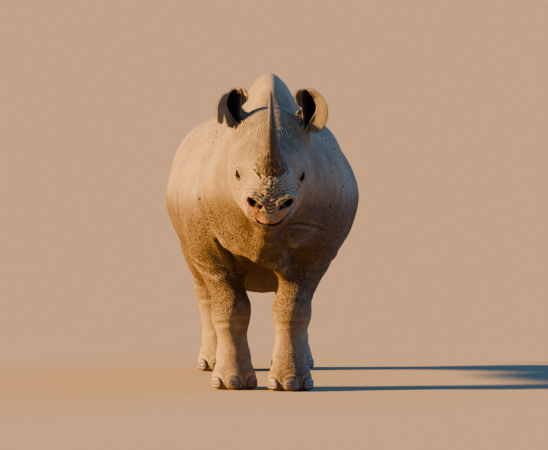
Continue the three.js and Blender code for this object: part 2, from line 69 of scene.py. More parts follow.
MM = (CAD_HIGH.z - CAD_LOW.z) / MODEL_HEIGHT  # metres in one of those millimetres

# ---------------------------------------------------------------- driving dimensions
HEAD_PLACE = (-32, -1124, 1088)  # midway between the eyes
HEAD_PITCH = 15  # degrees the nose points down
HEAD_TURN = -2.4  # degrees the nose points to the animal's right
HEAD_ROLL = 1.6  # degrees the poll leans to the animal's left
BODY_CELL = 7.0  # mesh size on the body
HEAD_CELL = 3.2  # mesh size on the head and ears
LEG_BLEND = 90
HEAD_BLEND = 110
TAIL_BLEND = 50
LEG_SPAN = 620  # a leg reaches no further than this from its knee or hock
NAIL_ANGLES = {"outer": 52, "front": 2, "inner": -50}  # round the toe, from straight ahead


# ---------------------------------------------------------------- small helpers
def column(values):
    return np.array(values, np.float32)[:, None]


def unit(v):
    return v / np.linalg.norm(v)


def smooth_min(a, b, k):
    h = np.maximum(k - np.abs(a - b), 0) / k
    return np.minimum(a, b) - h * h * k / 4


def smooth_max(a, b, k):
    return -smooth_min(-a, -b, k)


def step_up(low, high, v):
    """0 at low, 1 at high, smooth between and level beyond; low may be the greater."""
    t = np.clip((v - low) / (high - low), 0, 1)
    return t * t * (3 - 2 * t)


def between(a, b, c, d, v):
    """0 up to a, 1 from b to c, and 0 again from d on, smooth between."""
    return step_up(a, b, v) * step_up(d, c, v)


def hump(middle, width, v):
    """1 at the middle, and nearly 0 beyond two widths."""
    return np.exp(-(((v - middle) / width) ** 2))


def lengths(v):
    """The length of each column."""
    return np.sqrt((v**2).sum(0))


def within(p, low, high):
    """Indices of the points inside a box."""
    return np.flatnonzero(((p > low) & (p < high)).all(0))


def node_middle(node):
    """Middle of a node's solid, as a column."""
    low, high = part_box(node)
    return column(np.array((low + high) / 2) / MM)


class Spline:
    """A smooth curve through rows of numbers whose first entry is the station."""

    def __init__(self, rows):
        self.rows = np.array(rows, np.float32)
        last = len(rows) - 1
        after = self.rows[np.minimum(np.arange(len(rows)) + 1, last)]
        before = self.rows[np.maximum(np.arange(len(rows)) - 1, 0)]
        self.slopes = (after - before) / (after[:, :1] - before[:, :1])

    def __call__(self, station):
        at = self.rows[:, 0]
        s = np.clip(np.asarray(station, np.float32), at[0], at[-1])
        i = np.clip(np.searchsorted(at, s, side="right") - 1, 0, len(at) - 2)
        step = (at[i + 1] - at[i])[..., None]
        t = (s - at[i])[..., None] / step
        p, q = self.rows[i], self.rows[i + 1]
        m, n = self.slopes[i] * step, self.slopes[i + 1] * step
        value = p + t * (m + t * (3 * (q - p) - 2 * m - n + t * (m + n - 2 * (q - p))))
        return np.moveaxis(value, -1, 0)[1:]


def lattice(i, j, k, seed):
    """A fixed number from -1 to 1 for each whole-number place."""
    n = (i * 73856093 ^ j * 19349663 ^ k * 83492791 ^ seed * 7919) & 0xFFFFFFFF
    n = ((n ^ (n >> 15)) * 0x2C1B3C6D) & 0xFFFFFFFF
    n = ((n ^ (n >> 12)) * 0x297A2D39) & 0xFFFFFFFF
    return ((n ^ (n >> 15)) / 2147483648.0 - 1).astype(np.float32)


def noise(p, size, seed):
    """Smooth noise from -1 to 1, its swings about size long: one size, or one for each axis."""
    q = p / (size if np.isscalar(size) else column(size))
    whole = np.floor(q)
    f = q - whole
    f = f * f * (3 - 2 * f)
    i, j, k = whole.astype(np.int64)
    total = 0
    for a, b, c in product((0, 1), repeat=3):
        weight = np.abs(1 - a - f[0]) * np.abs(1 - b - f[1]) * np.abs(1 - c - f[2])
        total = total + weight * lattice(i + a, j + b, k + c, seed)
    return total


def furrows(p, size, width, seed):
    """1 along the winding lines where noise crosses zero, falling to 0 away from them."""
    return hump(0, width, noise(p, size, seed))


def pushed(p, amount, size, seed):
    """Places pushed about by noise, so that what is laid on them looks less regular."""
    return p + amount * np.stack([noise(p, size, seed + axis) for axis in range(3)])


# ---------------------------------------------------------------- forms of the flesh
class Form:
    def __init__(self, middle, reach, blend, field):
        self.middle, self.reach, self.blend, self.field = middle, reach, blend, field


def ball(centre, radii, tilt, blend):
    """An ellipsoid: centre, radii, degrees of tilt about X, and how widely it blends."""
    middle, size = column(centre), column(radii)
    c, s = math.cos(math.radians(tilt)), math.sin(math.radians(tilt))

    def field(p):
        x, y, z = p - middle
        q = np.stack([x, c * y + s * z, c * z - s * y]) / size
        share = lengths(q)
        return share * (share - 1) / np.maximum(lengths(q / size), 1e-6)

    return Form(middle, max(radii), blend, field)


def limb(a, ra, b, rb, flat, blend):
    """A tapered length between two points, its section squeezed sideways by flat."""
    start, axis = column(a), column(b) - column(a)
    length_sq = float((axis * axis).sum())
    reach = math.sqrt(length_sq) / 2 + max(ra, rb) * max(flat, 1)

    def field(p):
        q = p - start
        t = np.clip((q * axis).sum(0) / length_sq, 0, 1)
        q = q - axis * t
        q[0] /= flat
        return (lengths(q) - (ra + (rb - ra) * t)) * min(flat, 1)

    return Form(start + axis / 2, reach, blend, field)


def joined(d, p, forms):
    """Blends forms onto a field, each only where it reaches."""
    for form in forms:
        near = np.flatnonzero(lengths(p - form.middle) - form.reach < d + form.blend)
        d[near] = smooth_min(d[near], form.field(p[:, near]), form.blend)
    return d


def alone(p, forms):
    """The field of forms blended with each other and nothing else."""
    return joined(np.full(p.shape[1], np.inf, np.float32), p, forms)


# ---------------------------------------------------------------- trunk and neck
# Stations from the head to the rump: y, crown, widest, keel, half width, squareness above and
# below, and how far the middle plane sways to one side.
TRUNK = [
    (-1000, 1330, 1140, 955, 150, 2.0, 2.0, -38),
    (-860, 1383, 1110, 868, 196, 1.9, 2.0, -32),
    (-700, 1412, 1070, 785, 252, 1.7, 1.9, -22),
    (-560, 1450, 1020, 706, 312, 1.5, 1.9, -10),
    (-420, 1480, 965, 632, 362, 1.38, 2.0, -3),
    (-250, 1496, 930, 575, 392, 1.36, 2.1, 0),
    (0, 1442, 925, 520, 430, 1.45, 2.1, 0),
    (300, 1390, 920, 452, 472, 1.68, 1.84, 0),
    (550, 1370, 910, 424, 482, 1.82, 1.78, -2),
    (780, 1356, 910, 488, 466, 2.0, 1.82, -8),
    (980, 1335, 930, 600, 432, 2.25, 2.0, -18),
    (1140, 1305, 960, 720, 374, 2.15, 2.0, -20),
    (1290, 1220, 980, 800, 254, 2.0, 2.0, -16),
]
trunk_at = Spline(TRUNK)

TORSO_FORMS = [
    ball((0, -300, 1402), (86, 350, 138), -5, 110),  # withers ridge
    ball((-6, 900, 1285), (110, 360, 100), 5, 160),  # croup
    ball((158, 1215, 955), (176, 185, 260), -8, 110),  # buttocks
    ball((-180, 1205, 955), (178, 190, 265), -8, 110),
    ball((-10, 1225, 1075), (92, 120, 215), -6, 120),  # root of the tail
    ball((0, -560, 790), (165, 130, 150), -20, 130),  # brisket
]

# The loose folds of the breast: one slants down across it from the right shoulder, and one hangs
# from the throat and meets it. Rows: the middle of the fold and its radius.
BREAST_FOLDS = [
    [
        ((-240, -490, 790), 36),
        ((-190, -520, 750), 44),
        ((-130, -562, 716), 46),
        ((-62, -592, 684), 46),
        ((6, -580, 662), 44),
        ((58, -520, 626), 40),
        ((62, -400, 618), 44),
        ((40, -230, 640), 44),
    ],
    [
        ((-34, -850, 892), 40),
        ((-30, -780, 828), 44),
        ((-26, -700, 768), 46),
        ((-46, -634, 706), 44),
    ],
]
TORSO_FORMS += [
    limb(a, ra, b, rb, 1, 46) for fold in BREAST_FOLDS for (a, ra), (b, rb) in zip(fold, fold[1:])
]


def trunk_field(p):
    """A squared oval at each station, closed with half rounds at both ends."""
    x, y, z = p
    crown, widest, keel, half, above, below, sway = trunk_at(y)
    up = z > widest
    n = np.where(up, above, below)
    across, height = np.abs(x - sway), np.abs(z - widest)
    tall = np.where(up, crown - widest, widest - keel)
    share = ((across / half) ** n + (height / tall) ** n) ** (1 / n)
    side = np.hypot(across, height) * (1 - 1 / np.maximum(share, 0.05))
    past = np.maximum(TRUNK[0][0] - y, y - TRUNK[-1][0])
    return np.where(past > 0, np.hypot(np.maximum(side, 0), past), side)


# ---------------------------------------------------------------- legs
# Joint places of each leg, from the body down. The soles are flat on Z = 0.
FORELEGS = {
    "right": {
        "blade": (-235, -250, 1000),
        "elbow": (-262, -175, 700),
        "carpus": (-185, -262, 385),
        "fetlock": (-174, -262, 150),
        "foot": (-172, -285, 50),
    },
    "left": {
        "blade": (226, -290, 1000),
        "elbow": (198, -245, 700),
        "carpus": (106, -350, 385),
        "fetlock": (98, -372, 150),
        "foot": (98, -398, 50),
    },
}
HIND_LEGS = {
    "right": {
        "hip": (-226, 1000, 930),
        "stifle": (-266, 860, 700),
        "hock": (-228, 1075, 430),
        "fetlock": (-208, 1035, 150),
        "foot": (-207, 1005, 50),
    },
    "left": {
        "hip": (206, 1050, 890),
        "stifle": (222, 940, 700),
        "hock": (190, 1165, 430),
        "fetlock": (178, 1140, 150),
        "foot": (176, 1112, 50),
    },
}
# Radii of a forefoot's pad and of each of its toes. A hind foot is narrower and shorter.
PAD = (104, 114, 84)
TOE = (50, 58, 58)
HIND_FOOT_SIZE = 0.95


def shift(p, x, y, z):
    return (p[0] + x, p[1] + y, p[2] + z)


def foot_forms(fetlock, foot, out, size):
    """The pastern, the round pad, and a bulge for each of the three toes."""
    forms = [
        limb(fetlock, 78 * size, shift(foot, 0, 6, 24), 92 * size, 1, 40),
        ball(shift(foot, 0, 8, 0), (PAD[0] * size, PAD[1] * size, PAD[2]), 0, 40),
    ]
    for angle in NAIL_ANGLES.values():
        side, ahead = math.sin(math.radians(angle)), math.cos(math.radians(angle))
        centre = shift(foot, side * out * 60 * size, 8 - ahead * 62 * size, -8)
        forms.append(ball(centre, (TOE[0] * size, TOE[1] * size, TOE[2]), 0, 24))
    return forms


def foreleg(joints, out):
    """Shoulder, upper arm, forearm, elbow, knee, shank and foot; out is 1 on the left side."""
    blade, elbow, carpus, fetlock, foot = joints.values()
    return [
        ball(shift(blade, 16 * out, 0, 0), (132, 200, 300), -14, 120),
        ball(shift(elbow, 14 * out, -24, 80), (112, 172, 180), -12, 110),
        limb(shift(elbow, 4 * out, -14, -16), 122, shift(carpus, 0, 0, 30), 84, 0.94, 70),
        ball(shift(elbow, 4 * out, 92, 20), (66, 76, 96), 0, 80),
        ball(shift(carpus, 0, -10, 0), (84, 90, 92), 0, 60),
        limb(shift(carpus, 0, 4, -40), 80, fetlock, 74, 1, 60),
        *foot_forms(fetlock, foot, out, 1),
    ]


def hind_leg(joints, out):
    """Haunch, thigh, gaskin, heel, hock, shank and foot."""
    hip, stifle, hock, fetlock, foot = joints.values()
    return [
        ball(shift(hip, 16 * out, 0, 0), (160, 255, 290), 10, 120),
        ball(shift(stifle, 0, 85, 0), (112, 220, 205), 16, 100),
        limb(shift(stifle, 0, 110, -60), 136, hock, 88, 0.88, 80),
        ball(shift(hock, 0, 78, 36), (46, 52, 96), 14, 70),
        ball(shift(hock, 0, 2, 0), (88, 94, 92), 0, 60),
        limb(shift(hock, 0, 4, -40), 84, fetlock, 74, 0.97, 60),
        *foot_forms(fetlock, foot, out, HIND_FOOT_SIZE),
    ]


# Each leg: the name of its foot, its joints, its forms, the knee or hock, and which way is out.
LEG_PAIRS = [
    ("forefoot", FORELEGS, foreleg, "carpus"),
    ("hindfoot", HIND_LEGS, hind_leg, "hock"),
]
LEGS = [
    (f"{foot}_{side}", joints[side], forms(joints[side], out), middle, out)
    for foot, joints, forms, middle in LEG_PAIRS
    for side, out in (("right", -1), ("left", 1))
]


def with_legs(d, p):
    for _, joints, forms, middle, _ in LEGS:
        x, y, _ = joints[middle]
        near = np.flatnonzero((np.abs(p[0] - x) < LEG_SPAN) & (np.abs(p[1] - y) < LEG_SPAN))
        d[near] = smooth_min(d[near], alone(p[:, near], forms), LEG_BLEND)
    return d


# ---------------------------------------------------------------- head
# Head frame: x sideways, y forwards, z up, origin between the eyes. The forms are mirrored, so x is
# measured outwards from the middle plane.
HEAD_FORMS = [
    ball((0, -120, 50), (160, 185, 172), 0, 60),  # braincase and jaw muscles
    ball((0, -220, 165), (134, 80, 92), 12, 70),  # poll
    ball((118, -200, 128), (60, 66, 70), 0, 50),  # ear roots
    ball((98, -58, 26), (80, 125, 88), -8, 60),  # cheekbones
    ball((82, -125, -92), (84, 165, 134), 0, 70),  # angle of the jaw
    ball((0, 30, -118), (136, 225, 106), -6, 70),  # mandible
    limb((0, -40, -12), 128, (0, 262, -42), 84, 1.22, 70),  # face down to the muzzle
    ball((0, 40, 78), (100, 120, 58), -6, 80),  # boss under the rear horn
    ball((0, 212, 42), (102, 104, 70), -14, 60),  # boss under the front horn
    ball((76, 258, -54), (52, 66, 54), -20, 50),  # nostrils
    ball((0, 286, -94), (86, 60, 58), -20, 50),  # upper lip
    ball((0, 326, -146), (34, 30, 42), -16, 40),  # hooked tip
    ball((0, 214, -156), (88, 84, 42), 10, 40),  # lower lip
]
HEAD_MATRIX = np.array(
    Matrix.Rotation(math.radians(HEAD_TURN), 3, "Z")
    @ Matrix.Rotation(math.radians(HEAD_PITCH), 3, "X")
    @ Matrix.Rotation(math.radians(HEAD_ROLL), 3, "Y"),
    np.float32,
)
# Rows: the head's left side, straight ahead along the nose, and up.
HEAD_AXES = (HEAD_MATRIX * np.array([1, -1, 1], np.float32)).T
HEAD_MIDDLE = column(HEAD_PLACE)
HEAD_REACH = 650
HEAD_BACK = -500  # nothing of the head lies behind this


def into_head(p):
    return HEAD_AXES @ (p - HEAD_MIDDLE)


def out_of_head(q):
    return HEAD_AXES.T @ q + HEAD_MIDDLE


def mirrored(q):
    """Places in the head frame, all brought to its left side."""
    return np.stack([np.abs(q[0]), q[1], q[2]])


def with_head(d, p):
    near = np.flatnonzero((p[1] < HEAD_BACK) & (lengths(p - HEAD_MIDDLE) < HEAD_REACH))
    q = mirrored(into_head(p[:, near]))
    d[near] = smooth_min(d[near], alone(q, HEAD_FORMS), HEAD_BLEND)
    return d


def flesh(p):
    d = joined(trunk_field(p), p, TORSO_FORMS)
    return with_head(with_legs(d, p), p)


# ---------------------------------------------------------------- tail and armpits
# Share of the way down, the middle of the tail there, and its radius.
TAIL = [
    (0.0, -10, 1300, 1240, 58),
    (0.18, -10, 1392, 1176, 48),
    (0.34, -10, 1444, 1050, 36),
    (0.5, -10, 1462, 900, 28),
    (0.68, -9, 1458, 740, 21),
    (0.84, -8, 1452, 620, 16),
    (1.0, -8, 1454, 520, 5),
]
tail_at = Spline(TAIL)
TAIL_STEPS = 14
TAIL_LOW = column((-180, 1180, 400))
TAIL_HIGH = column((160, np.inf, np.inf))


def tail_forms():
    x, y, z, radius = tail_at(np.linspace(0, 1, TAIL_STEPS + 1))
    places = list(zip(x, y, z, radius))
    return [limb(a[:3], a[3], b[:3], b[3], 1, 8) for a, b in zip(places, places[1:])]


TAIL_FORMS = tail_forms()


def with_tail(d, p):
    near = within(p, TAIL_LOW, TAIL_HIGH)
    d[near] = smooth_min(d[near], alone(p[:, near], TAIL_FORMS), TAIL_BLEND)
    return d


# Hollows of the armpits, on each side of the breastbone.
ARMPITS = [
    ball((-104, -470, 596), (56, 120, 84), -30, 60),
    ball((132, -540, 600), (44, 120, 80), -30, 60),
]


def with_armpits(d, p):
    for hollow in ARMPITS:
        near = np.flatnonzero(lengths(p - hollow.middle) < hollow.reach + hollow.blend)
        d[near] = smooth_max(d[near], -hollow.field(p[:, near]), hollow.blend)
    return d


# ---------------------------------------------------------------- ears
# An ear is one bent sheet, given as it is seen from its open side: across (outwards from the head)
# and high. Its outline is a closed curve, and its depth is a deep channel that opens into a broad
# flap on the outer side, with the inner rim curled forwards.
EAR_WALL = 10
EAR_BLEND = 26
EAR_RAGGED = 1.3  # how uneven the rim is
# The box that holds an ear, in the ear's own frame.
EAR_LOW = column((-110, -130, -110))
EAR_HIGH = column((110, 60, 205))
# Height, middle, half width and depth of the channel.
CHANNEL = Spline(
    [
        (-30, -14, 9, 4),
        (15, -11, 14, 26),
        (50, -4, 24, 58),
        (85, 1, 38, 80),
        (118, 0, 43, 86),
        (150, -9, 38, 70),
        (174, -15, 26, 36),
        (194, -18, 14, 6),
    ]
)
INNER_CURL = 26  # how far the inner rim comes forwards
FLAP_BEND = 12  # how far the outer rim of the flap comes forwards
TOP_CURL = 10
STALK = limb((-44, -36, -60), 44, (-14, -56, 40), 30, 1, 20)
EARS = {
    "ear_right": {
        "root": (-170, -192, 176),
        "lean": (-0.08, 0.02, 1),
        "open": (0.3, -1, 0.05),
        "out": 1,
        # a round lobe below, cut off by a slit, and a nick above it
        "outline": [
            (-42, 0), (-40, -45), (-8, -45), (-9, -4), (12, -7), (38, 2), (47, 20), (50, 42),
            (53, 62), (57, 44), (61, 26), (74, 17), (89, 26), (97, 44), (96, 57), (90, 63),
            (96, 71), (95, 88), (87, 108), (71, 138), (50, 157), (6, 174), (-17, 180),
            (-46, 177), (-63, 162), (-68, 140), (-63, 119), (-50, 103), (-41, 88), (-54, 70),
            (-62, 52), (-54, 26),
        ],
    },
    "ear_left": {
        "root": (180, -192, 168),
        "lean": (0.05, 0.02, 1),
        "open": (-0.32, -1, 0.05),
        "out": -1,
        "outline": [
            (-30, 0), (-30, -45), (8, -45), (10, -5), (27, -10), (49, -9), (66, 3), (84, 25),
            (95, 56), (97, 87), (90, 121), (76, 145), (54, 171), (32, 187), (6, 197),
            (-36, 192), (-56, 183), (-68, 158), (-62, 130), (-50, 112), (-43, 101), (-54, 90),
            (-61, 76), (-50, 58), (-34, 40),
        ],
    },
}


class Outline:
    """Distance outside a smooth closed curve, worked out once on a fine grid and read there."""

    STEP = 1.5
    MARGIN = 60
    PARTS = 6

    def __init__(self, points):
        p0, p1, p2, p3 = (np.roll(np.array(points, np.float32), k, 0) for k in (1, 0, -1, -2))
        t = np.linspace(0, 1, self.PARTS, endpoint=False)[:, None, None]
        bend = 2 * p0 - 5 * p1 + 4 * p2 - p3 + t * (3 * (p1 - p2) + p3 - p0)
        curve = p1 + 0.5 * t * (p2 - p0 + t * bend)
        self.curve = curve.transpose(1, 0, 2).reshape(-1, 2)
        self.low = self.curve.min(0) - self.MARGIN
        shape = ((np.ptp(self.curve, 0) + 2 * self.MARGIN) / self.STEP).astype(int)
        x, y = (self.low[:, None, None] + self.STEP * np.indices(shape)).astype(np.float32)
        inside = np.zeros(shape, bool)
        far = np.full(shape, np.inf, np.float32)
        for (ax, ay), (bx, by) in zip(self.curve, np.roll(self.curve, -1, 0)):
            wide, tall = bx - ax, by - ay
            t = np.clip(((x - ax) * wide + (y - ay) * tall) / (wide**2 + tall**2), 0, 1)
            far = np.minimum(far, np.hypot(x - ax - t * wide, y - ay - t * tall))
            if ay != by:
                inside ^= ((ay > y) != (by > y)) & (x < ax + wide * (y - ay) / tall)
        self.distance = np.where(inside, -far, far)

    def __call__(self, x, y):
        last = np.array(self.distance.shape)[:, None] - 1.001
        at = np.clip((np.stack([x, y]) - self.low[:, None]) / self.STEP, 0, last)
        (i, j), (s, t) = at.astype(int), at % 1
        d = self.distance
        low = d[i, j] * (1 - s) + d[i + 1, j] * s
        return low * (1 - t) + (d[i, j + 1] * (1 - s) + d[i + 1, j + 1] * s) * t


EAR_OUTLINES = {node: Outline(ear["outline"]) for node, ear in EARS.items()}


def ear_frame(ear):
    """Rows: outwards from the head, towards the opening, and up; and the root."""
    up = unit(np.array(ear["lean"]))
    front = np.array(ear["open"])
    front = unit(front - up * (front @ up))
    outwards = np.cross(front, up) * ear["out"]
    return np.array([outwards, front, up], np.float32), out_of_head(column(ear["root"]))


def channel_share(across, high):
    """How far out of the channel's middle a place lies, 1 at its edge; its half width and depth."""
    middle, half, deep = CHANNEL(high)
    return (across - middle) / half, half, deep


def ear_depth(across, high):
    """How far forwards the sheet lies."""
    share, half, deep = channel_share(across, high)
    inner = (-share - 1) * half
    depth = INNER_CURL * step_up(0, 24, inner) * step_up(60, 110, high)
    depth += FLAP_BEND * step_up(34, 104, across) + TOP_CURL * step_up(150, 195, high)
    return depth - deep * (1 - step_up(0.22, 1.0, np.abs(share)))


def ear_sheet(p, node):
    """Distance ahead of the sheet and outside its outline, and the place in the ear's own frame."""
    axes, root = ear_frame(EARS[node])
    local = axes @ (p - root)
    across, ahead, high = local
    depth = ear_depth(across, high)
    slope = np.hypot(ear_depth(across + 1, high) - depth, ear_depth(across, high + 1) - depth)
    rim = EAR_OUTLINES[node](across, high) + EAR_RAGGED * noise(local, 9, 31)
    return (ahead - depth) / np.sqrt(1 + slope**2), rim, local


def ear_field(p, node):
    off, rim, local = ear_sheet(p, node)
    wall = EAR_WALL - 3 * step_up(-30, 0, rim)
    sheet = smooth_max(np.abs(off) - wall / 2, rim, 5)
    share, half, _ = channel_share(local[0], local[2])
    hollow = np.maximum((np.abs(share) - 0.9) * half, wall / 2 - off)
    hollow = np.maximum(hollow, -4 - local[2])
    stalk = smooth_max(STALK.field(local), -hollow, 8)
    return smooth_min(sheet, stalk, 16)


def near_ear(p, node, margin):
    """Indices of the points in an ear's box, widened by a margin."""
    axes, root = ear_frame(EARS[node])
    return within(axes @ (p - root), EAR_LOW - margin, EAR_HIGH + margin)


def with_ears(d, p):
    for node in EARS:
        near = near_ear(p, node, 60)
        d[near] = smooth_min(d[near], ear_field(p[:, near], node), EAR_BLEND)
    return d


# ---------------------------------------------------------------- eyes
EYE_RADIUS = 19
LID_RADIUS = 25
LID_BLEND = 18
LID_REACH = 90
SLIT = (24, 11, 19)  # half length, half height and depth of the opening between the lids
GAZE = (1, 0.8, 0.12)  # the way an eye looks: outwards, forwards and up
SLIT_SLOPE = 34  # degrees that the slit falls towards the nose


def eye_frame(node):
    """Middle of the eyeball, and rows: along the slit to the nose, across it, and outwards."""
    middle = node_middle(node)
    out = 1 if middle[0, 0] > HEAD_PLACE[0] else -1
    gaze = unit(HEAD_AXES.T @ np.array((GAZE[0] * out, GAZE[1], GAZE[2]), np.float32))
    fall = math.radians(SLIT_SLOPE)
    along = HEAD_AXES[1] * math.cos(fall) - HEAD_AXES[2] * math.sin(fall)
    along = unit(along - gaze * (along @ gaze))
    return middle, np.array([along, np.cross(along, gaze) * out, gaze], np.float32)


EYES = {node: eye_frame(node) for node in ("eye_right", "eye_left")}


def with_lids(d, p):
    for middle, axes in EYES.values():
        near = np.flatnonzero(lengths(p - middle) < LID_REACH)
        along, across, out = axes @ (p[:, near] - middle)
        dome = np.sqrt(along**2 + (across * 1.12) ** 2 + out**2) - LID_RADIUS
        lidded = smooth_min(d[near], dome, LID_BLEND)
        arch = across - 3 * (1 - (along / SLIT[0]) ** 2)
        share = lengths(np.stack([along, arch, out - 20]) / column(SLIT))
        d[near] = smooth_max(lidded, (1 - share) * SLIT[1], 4)
    return d


# ---------------------------------------------------------------- nostrils and mouth
# A nostril is a comma, broad and deep above and narrow below, bored inwards. It is mirrored about
# a plane a little to the left of the head's middle.
NOSTRIL_SHIFT = 6
NOSTRIL_FORMS = [
    limb((96, 322, -30), 15, (84, 334, -42), 17, 1, 6),
    limb((84, 330, -42), 17, (62, 342, -55), 12, 1, 6),
    limb((62, 342, -55), 12, (46, 350, -62), 9, 1, 6),
    limb((88, 326, -36), 16, (62, 230, -30), 15, 1, 6),
    limb((48, 348, -60), 9, (44, 310, -56), 6, 1, 6),
]
NOSTRIL_RIMS = [
    limb((106, 296, -22), 13, (84, 318, -12), 11, 1, 26),
    limb((84, 318, -12), 11, (40, 336, -34), 12, 1, 26),
]
MOUTH_DEEP = 18
MOUTH_CORNER = 130  # how far forward the corners of the mouth lie
LIP_TIP_HIGH = -143
LIP_RISE = 78  # how much higher the upper lip's edge lies at the sides than at its tip
CHIN_FORMS = [
    ball((0, 30, -118), (136, 225, 106), -6, 60),
    ball((0, 196, -140), (106, 108, 58), 6, 40),
    ball((0, 262, -152), (80, 70, 38), 0, 30),
]


MUZZLE_BACK = -1180  # the muzzle lies ahead of this and below the next
MUZZLE_TOP = 1200


def at_nostrils(q):
    """Places in the head frame, mirrored about the plane midway between the nostrils."""
    return mirrored(q - column((NOSTRIL_SHIFT, 0, 0)))


def mouth_height(side, forward):
    """Height of the slit between the lips: low at the tip, higher at the sides of the muzzle."""
    off = np.abs(side - 2)
    return LIP_TIP_HIGH + LIP_RISE * step_up(38, 120, off) - 12 * step_up(290, 150, forward)


def with_muzzle(d, p):
    near = np.flatnonzero((p[1] < MUZZLE_BACK) & (p[2] < MUZZLE_TOP))
    q = into_head(p[:, near])
    side, forward, high = q
    own = joined(d[near], at_nostrils(q), NOSTRIL_RIMS)
    own = smooth_max(own, -alone(at_nostrils(q), NOSTRIL_FORMS), 9)
    under = mouth_height(side, forward) - high
    chin = alone(mirrored(q), CHIN_FORMS)
    own += np.maximum(chin - own, 0) * step_up(-2, 8, under) * step_up(120, 200, forward)
    slit = np.abs(under) * 0.85 - 4.2
    slit = np.maximum(slit, MOUTH_CORNER - forward)
    slit = np.maximum(slit, -own - MOUTH_DEEP)
    d[near] = smooth_max(own, -slit, 7)
    return d


def skin(p):
    """The whole hide: the flesh, tail, ears, lids, nostrils and mouth, flat at the soles."""
    d = with_ears(with_tail(with_armpits(flesh(p), p), p), p)
    d = with_muzzle(with_lids(d, p), p)
    return smooth_max(d, -p[2], 5)


# ---------------------------------------------------------------- from field to mesh
# The grid's cells grow from the head to the body. A cell's place is (u, v, w): v counts along Y,
# and u and w count sideways and upwards in cells of the size that holds there.
GRID_Y = (-1545, 1530)
GRID_U = 88
GRID_W = (-176, 114)
GRID_MIDDLE_Z = 1150
BLOCK = 8
STEEPEST = 1.6  # the field never changes faster than this
GENTLEST = 0.2  # a slope below this is taken to be this
SETTLE_ROUNDS = 3
SLOPE_STEP = 1.5
BATCH = 400_000  # the most points that are worked on at once


def cell_size(y):
    """Fine on the head, coarser from the shoulders back."""
    return HEAD_CELL + (BODY_CELL - HEAD_CELL) * step_up(-930, -560, y)


def stations():
    found = [GRID_Y[0]]
    while found[-1] < GRID_Y[1]:
        found.append(found[-1] + float(cell_size(np.float32(found[-1]))))
    return np.array(found, np.float32)


STATIONS = stations()


def place(uvw):
    """The point at a grid place, which need not be whole."""
    u, v, w = uvw
    y = np.interp(v, np.arange(len(STATIONS)), STATIONS)
    cell = cell_size(y)
    x, z = (u - GRID_U) * cell, GRID_MIDDLE_Z + (w + GRID_W[0]) * cell
    return np.stack([x, y, z]).astype(np.float32)


def batches(p):
    return [slice(i, i + BATCH) for i in range(0, p.shape[1], BATCH)]


def in_batches(field, p):
    return np.concatenate([field(p[:, part]) for part in batches(p)])


def whole_places(*counts):
    """Every whole-number place of a block, as columns."""
    return np.stack(np.meshgrid(*map(np.arange, counts), indexing="ij")).reshape(3, -1)


def sampled(field):
    """The field on the whole grid, worked out only in the blocks that the surface may cross."""
    shape = np.array([2 * GRID_U, len(STATIONS), GRID_W[1] - GRID_W[0]])
    blocks = -(-shape // BLOCK)
    index = whole_places(*blocks)
    middle = place(index * BLOCK + (BLOCK - 1) / 2)
    rough = in_batches(field, middle)
    half = cell_size(middle[1]) * BLOCK * math.sqrt(3) / 2
    grid = rough.reshape(blocks)
    for axis in range(3):
        grid = np.repeat(grid, BLOCK, axis)
    near = np.flatnonzero(np.abs(rough) < half * STEEPEST)
    inner = whole_places(BLOCK, BLOCK, BLOCK)[:, None]
    at = (index[:, near, None] * BLOCK + inner).reshape(3, -1)
    grid[tuple(at)] = in_batches(field, place(at))
    for axis in range(3):
        edge = np.moveaxis(grid, axis, 0)
        edge[[0, -1]] = np.maximum(edge[[0, -1]], 1)
    return grid


def slope_of(field, p):
    """The field at each point, and how fast it rises along each axis."""
    value = field(p)
    ahead = [field(p + column(step)) for step in SLOPE_STEP * np.eye(3)]
    return value, (np.stack(ahead) - value) / SLOPE_STEP


def settled(field, p, most):
    """Moves points along the field's slope until they lie on its surface."""
    for _ in range(SETTLE_ROUNDS):
        for part in batches(p):
            value, slope = slope_of(field, p[:, part])
            steep = np.maximum(lengths(slope), GENTLEST)
            p[:, part] -= slope / steep * np.clip(value / steep, -most[part], most[part])
    return p


def surface(field):
    """Vertices and quads of the field's surface: one vertex for each cell that it crosses."""
    grid = sampled(field)
    inside = grid < 0
    shape = np.array(grid.shape)
    strides = np.array([shape[1] * shape[2], shape[2], 1])
    crossings, rings = [], []
    for axis in range(3):
        steps = np.roll(np.eye(3, dtype=int), -axis, axis=0)[:, :, None]
        ahead, first, second = steps
        a = inside[tuple(slice(0, n - s) for n, s in zip(shape, ahead[:, 0]))]
        b = inside[tuple(slice(s, n) for n, s in zip(shape, ahead[:, 0]))]
        at = np.stack(np.nonzero(a != b))
        here, there = grid[tuple(at)], grid[tuple(at + ahead)]
        crossings.append(at + ahead * (here / (here - there)))
        around = (at - first - second, at - second, at, at - first)
        ring = np.stack([(strides[:, None] * cell).sum(0) for cell in around])
        rings.append(np.where(inside[tuple(at)], ring, ring[::-1]))
    crossings, rings = np.concatenate(crossings, 1), np.concatenate(rings, 1)
    cells, quads = np.unique(rings, return_inverse=True)
    quads = quads.reshape(4, -1)
    count = np.bincount(quads.ravel(), minlength=len(cells))
    sums = [np.bincount(quads.ravel(), np.tile(axis, 4), len(cells)) for axis in crossings]
    points = place(np.array(sums) / count)
    return settled(field, points, cell_size(points[1]) / 3), quads.T


def corner_normals(points, quads):
    """Unit normal of each vertex, from the quads round it."""
    a, b, c, d = (points[:, quads[:, k]] for k in range(4))
    flat = np.cross(c - a, d - b, axis=0)
    normal = np.zeros_like(points)
    for k in range(4):
        for axis in range(3):
            normal[axis] += np.bincount(quads[:, k], flat[axis], points.shape[1])
    return normal / np.maximum(lengths(normal), 1e-9)


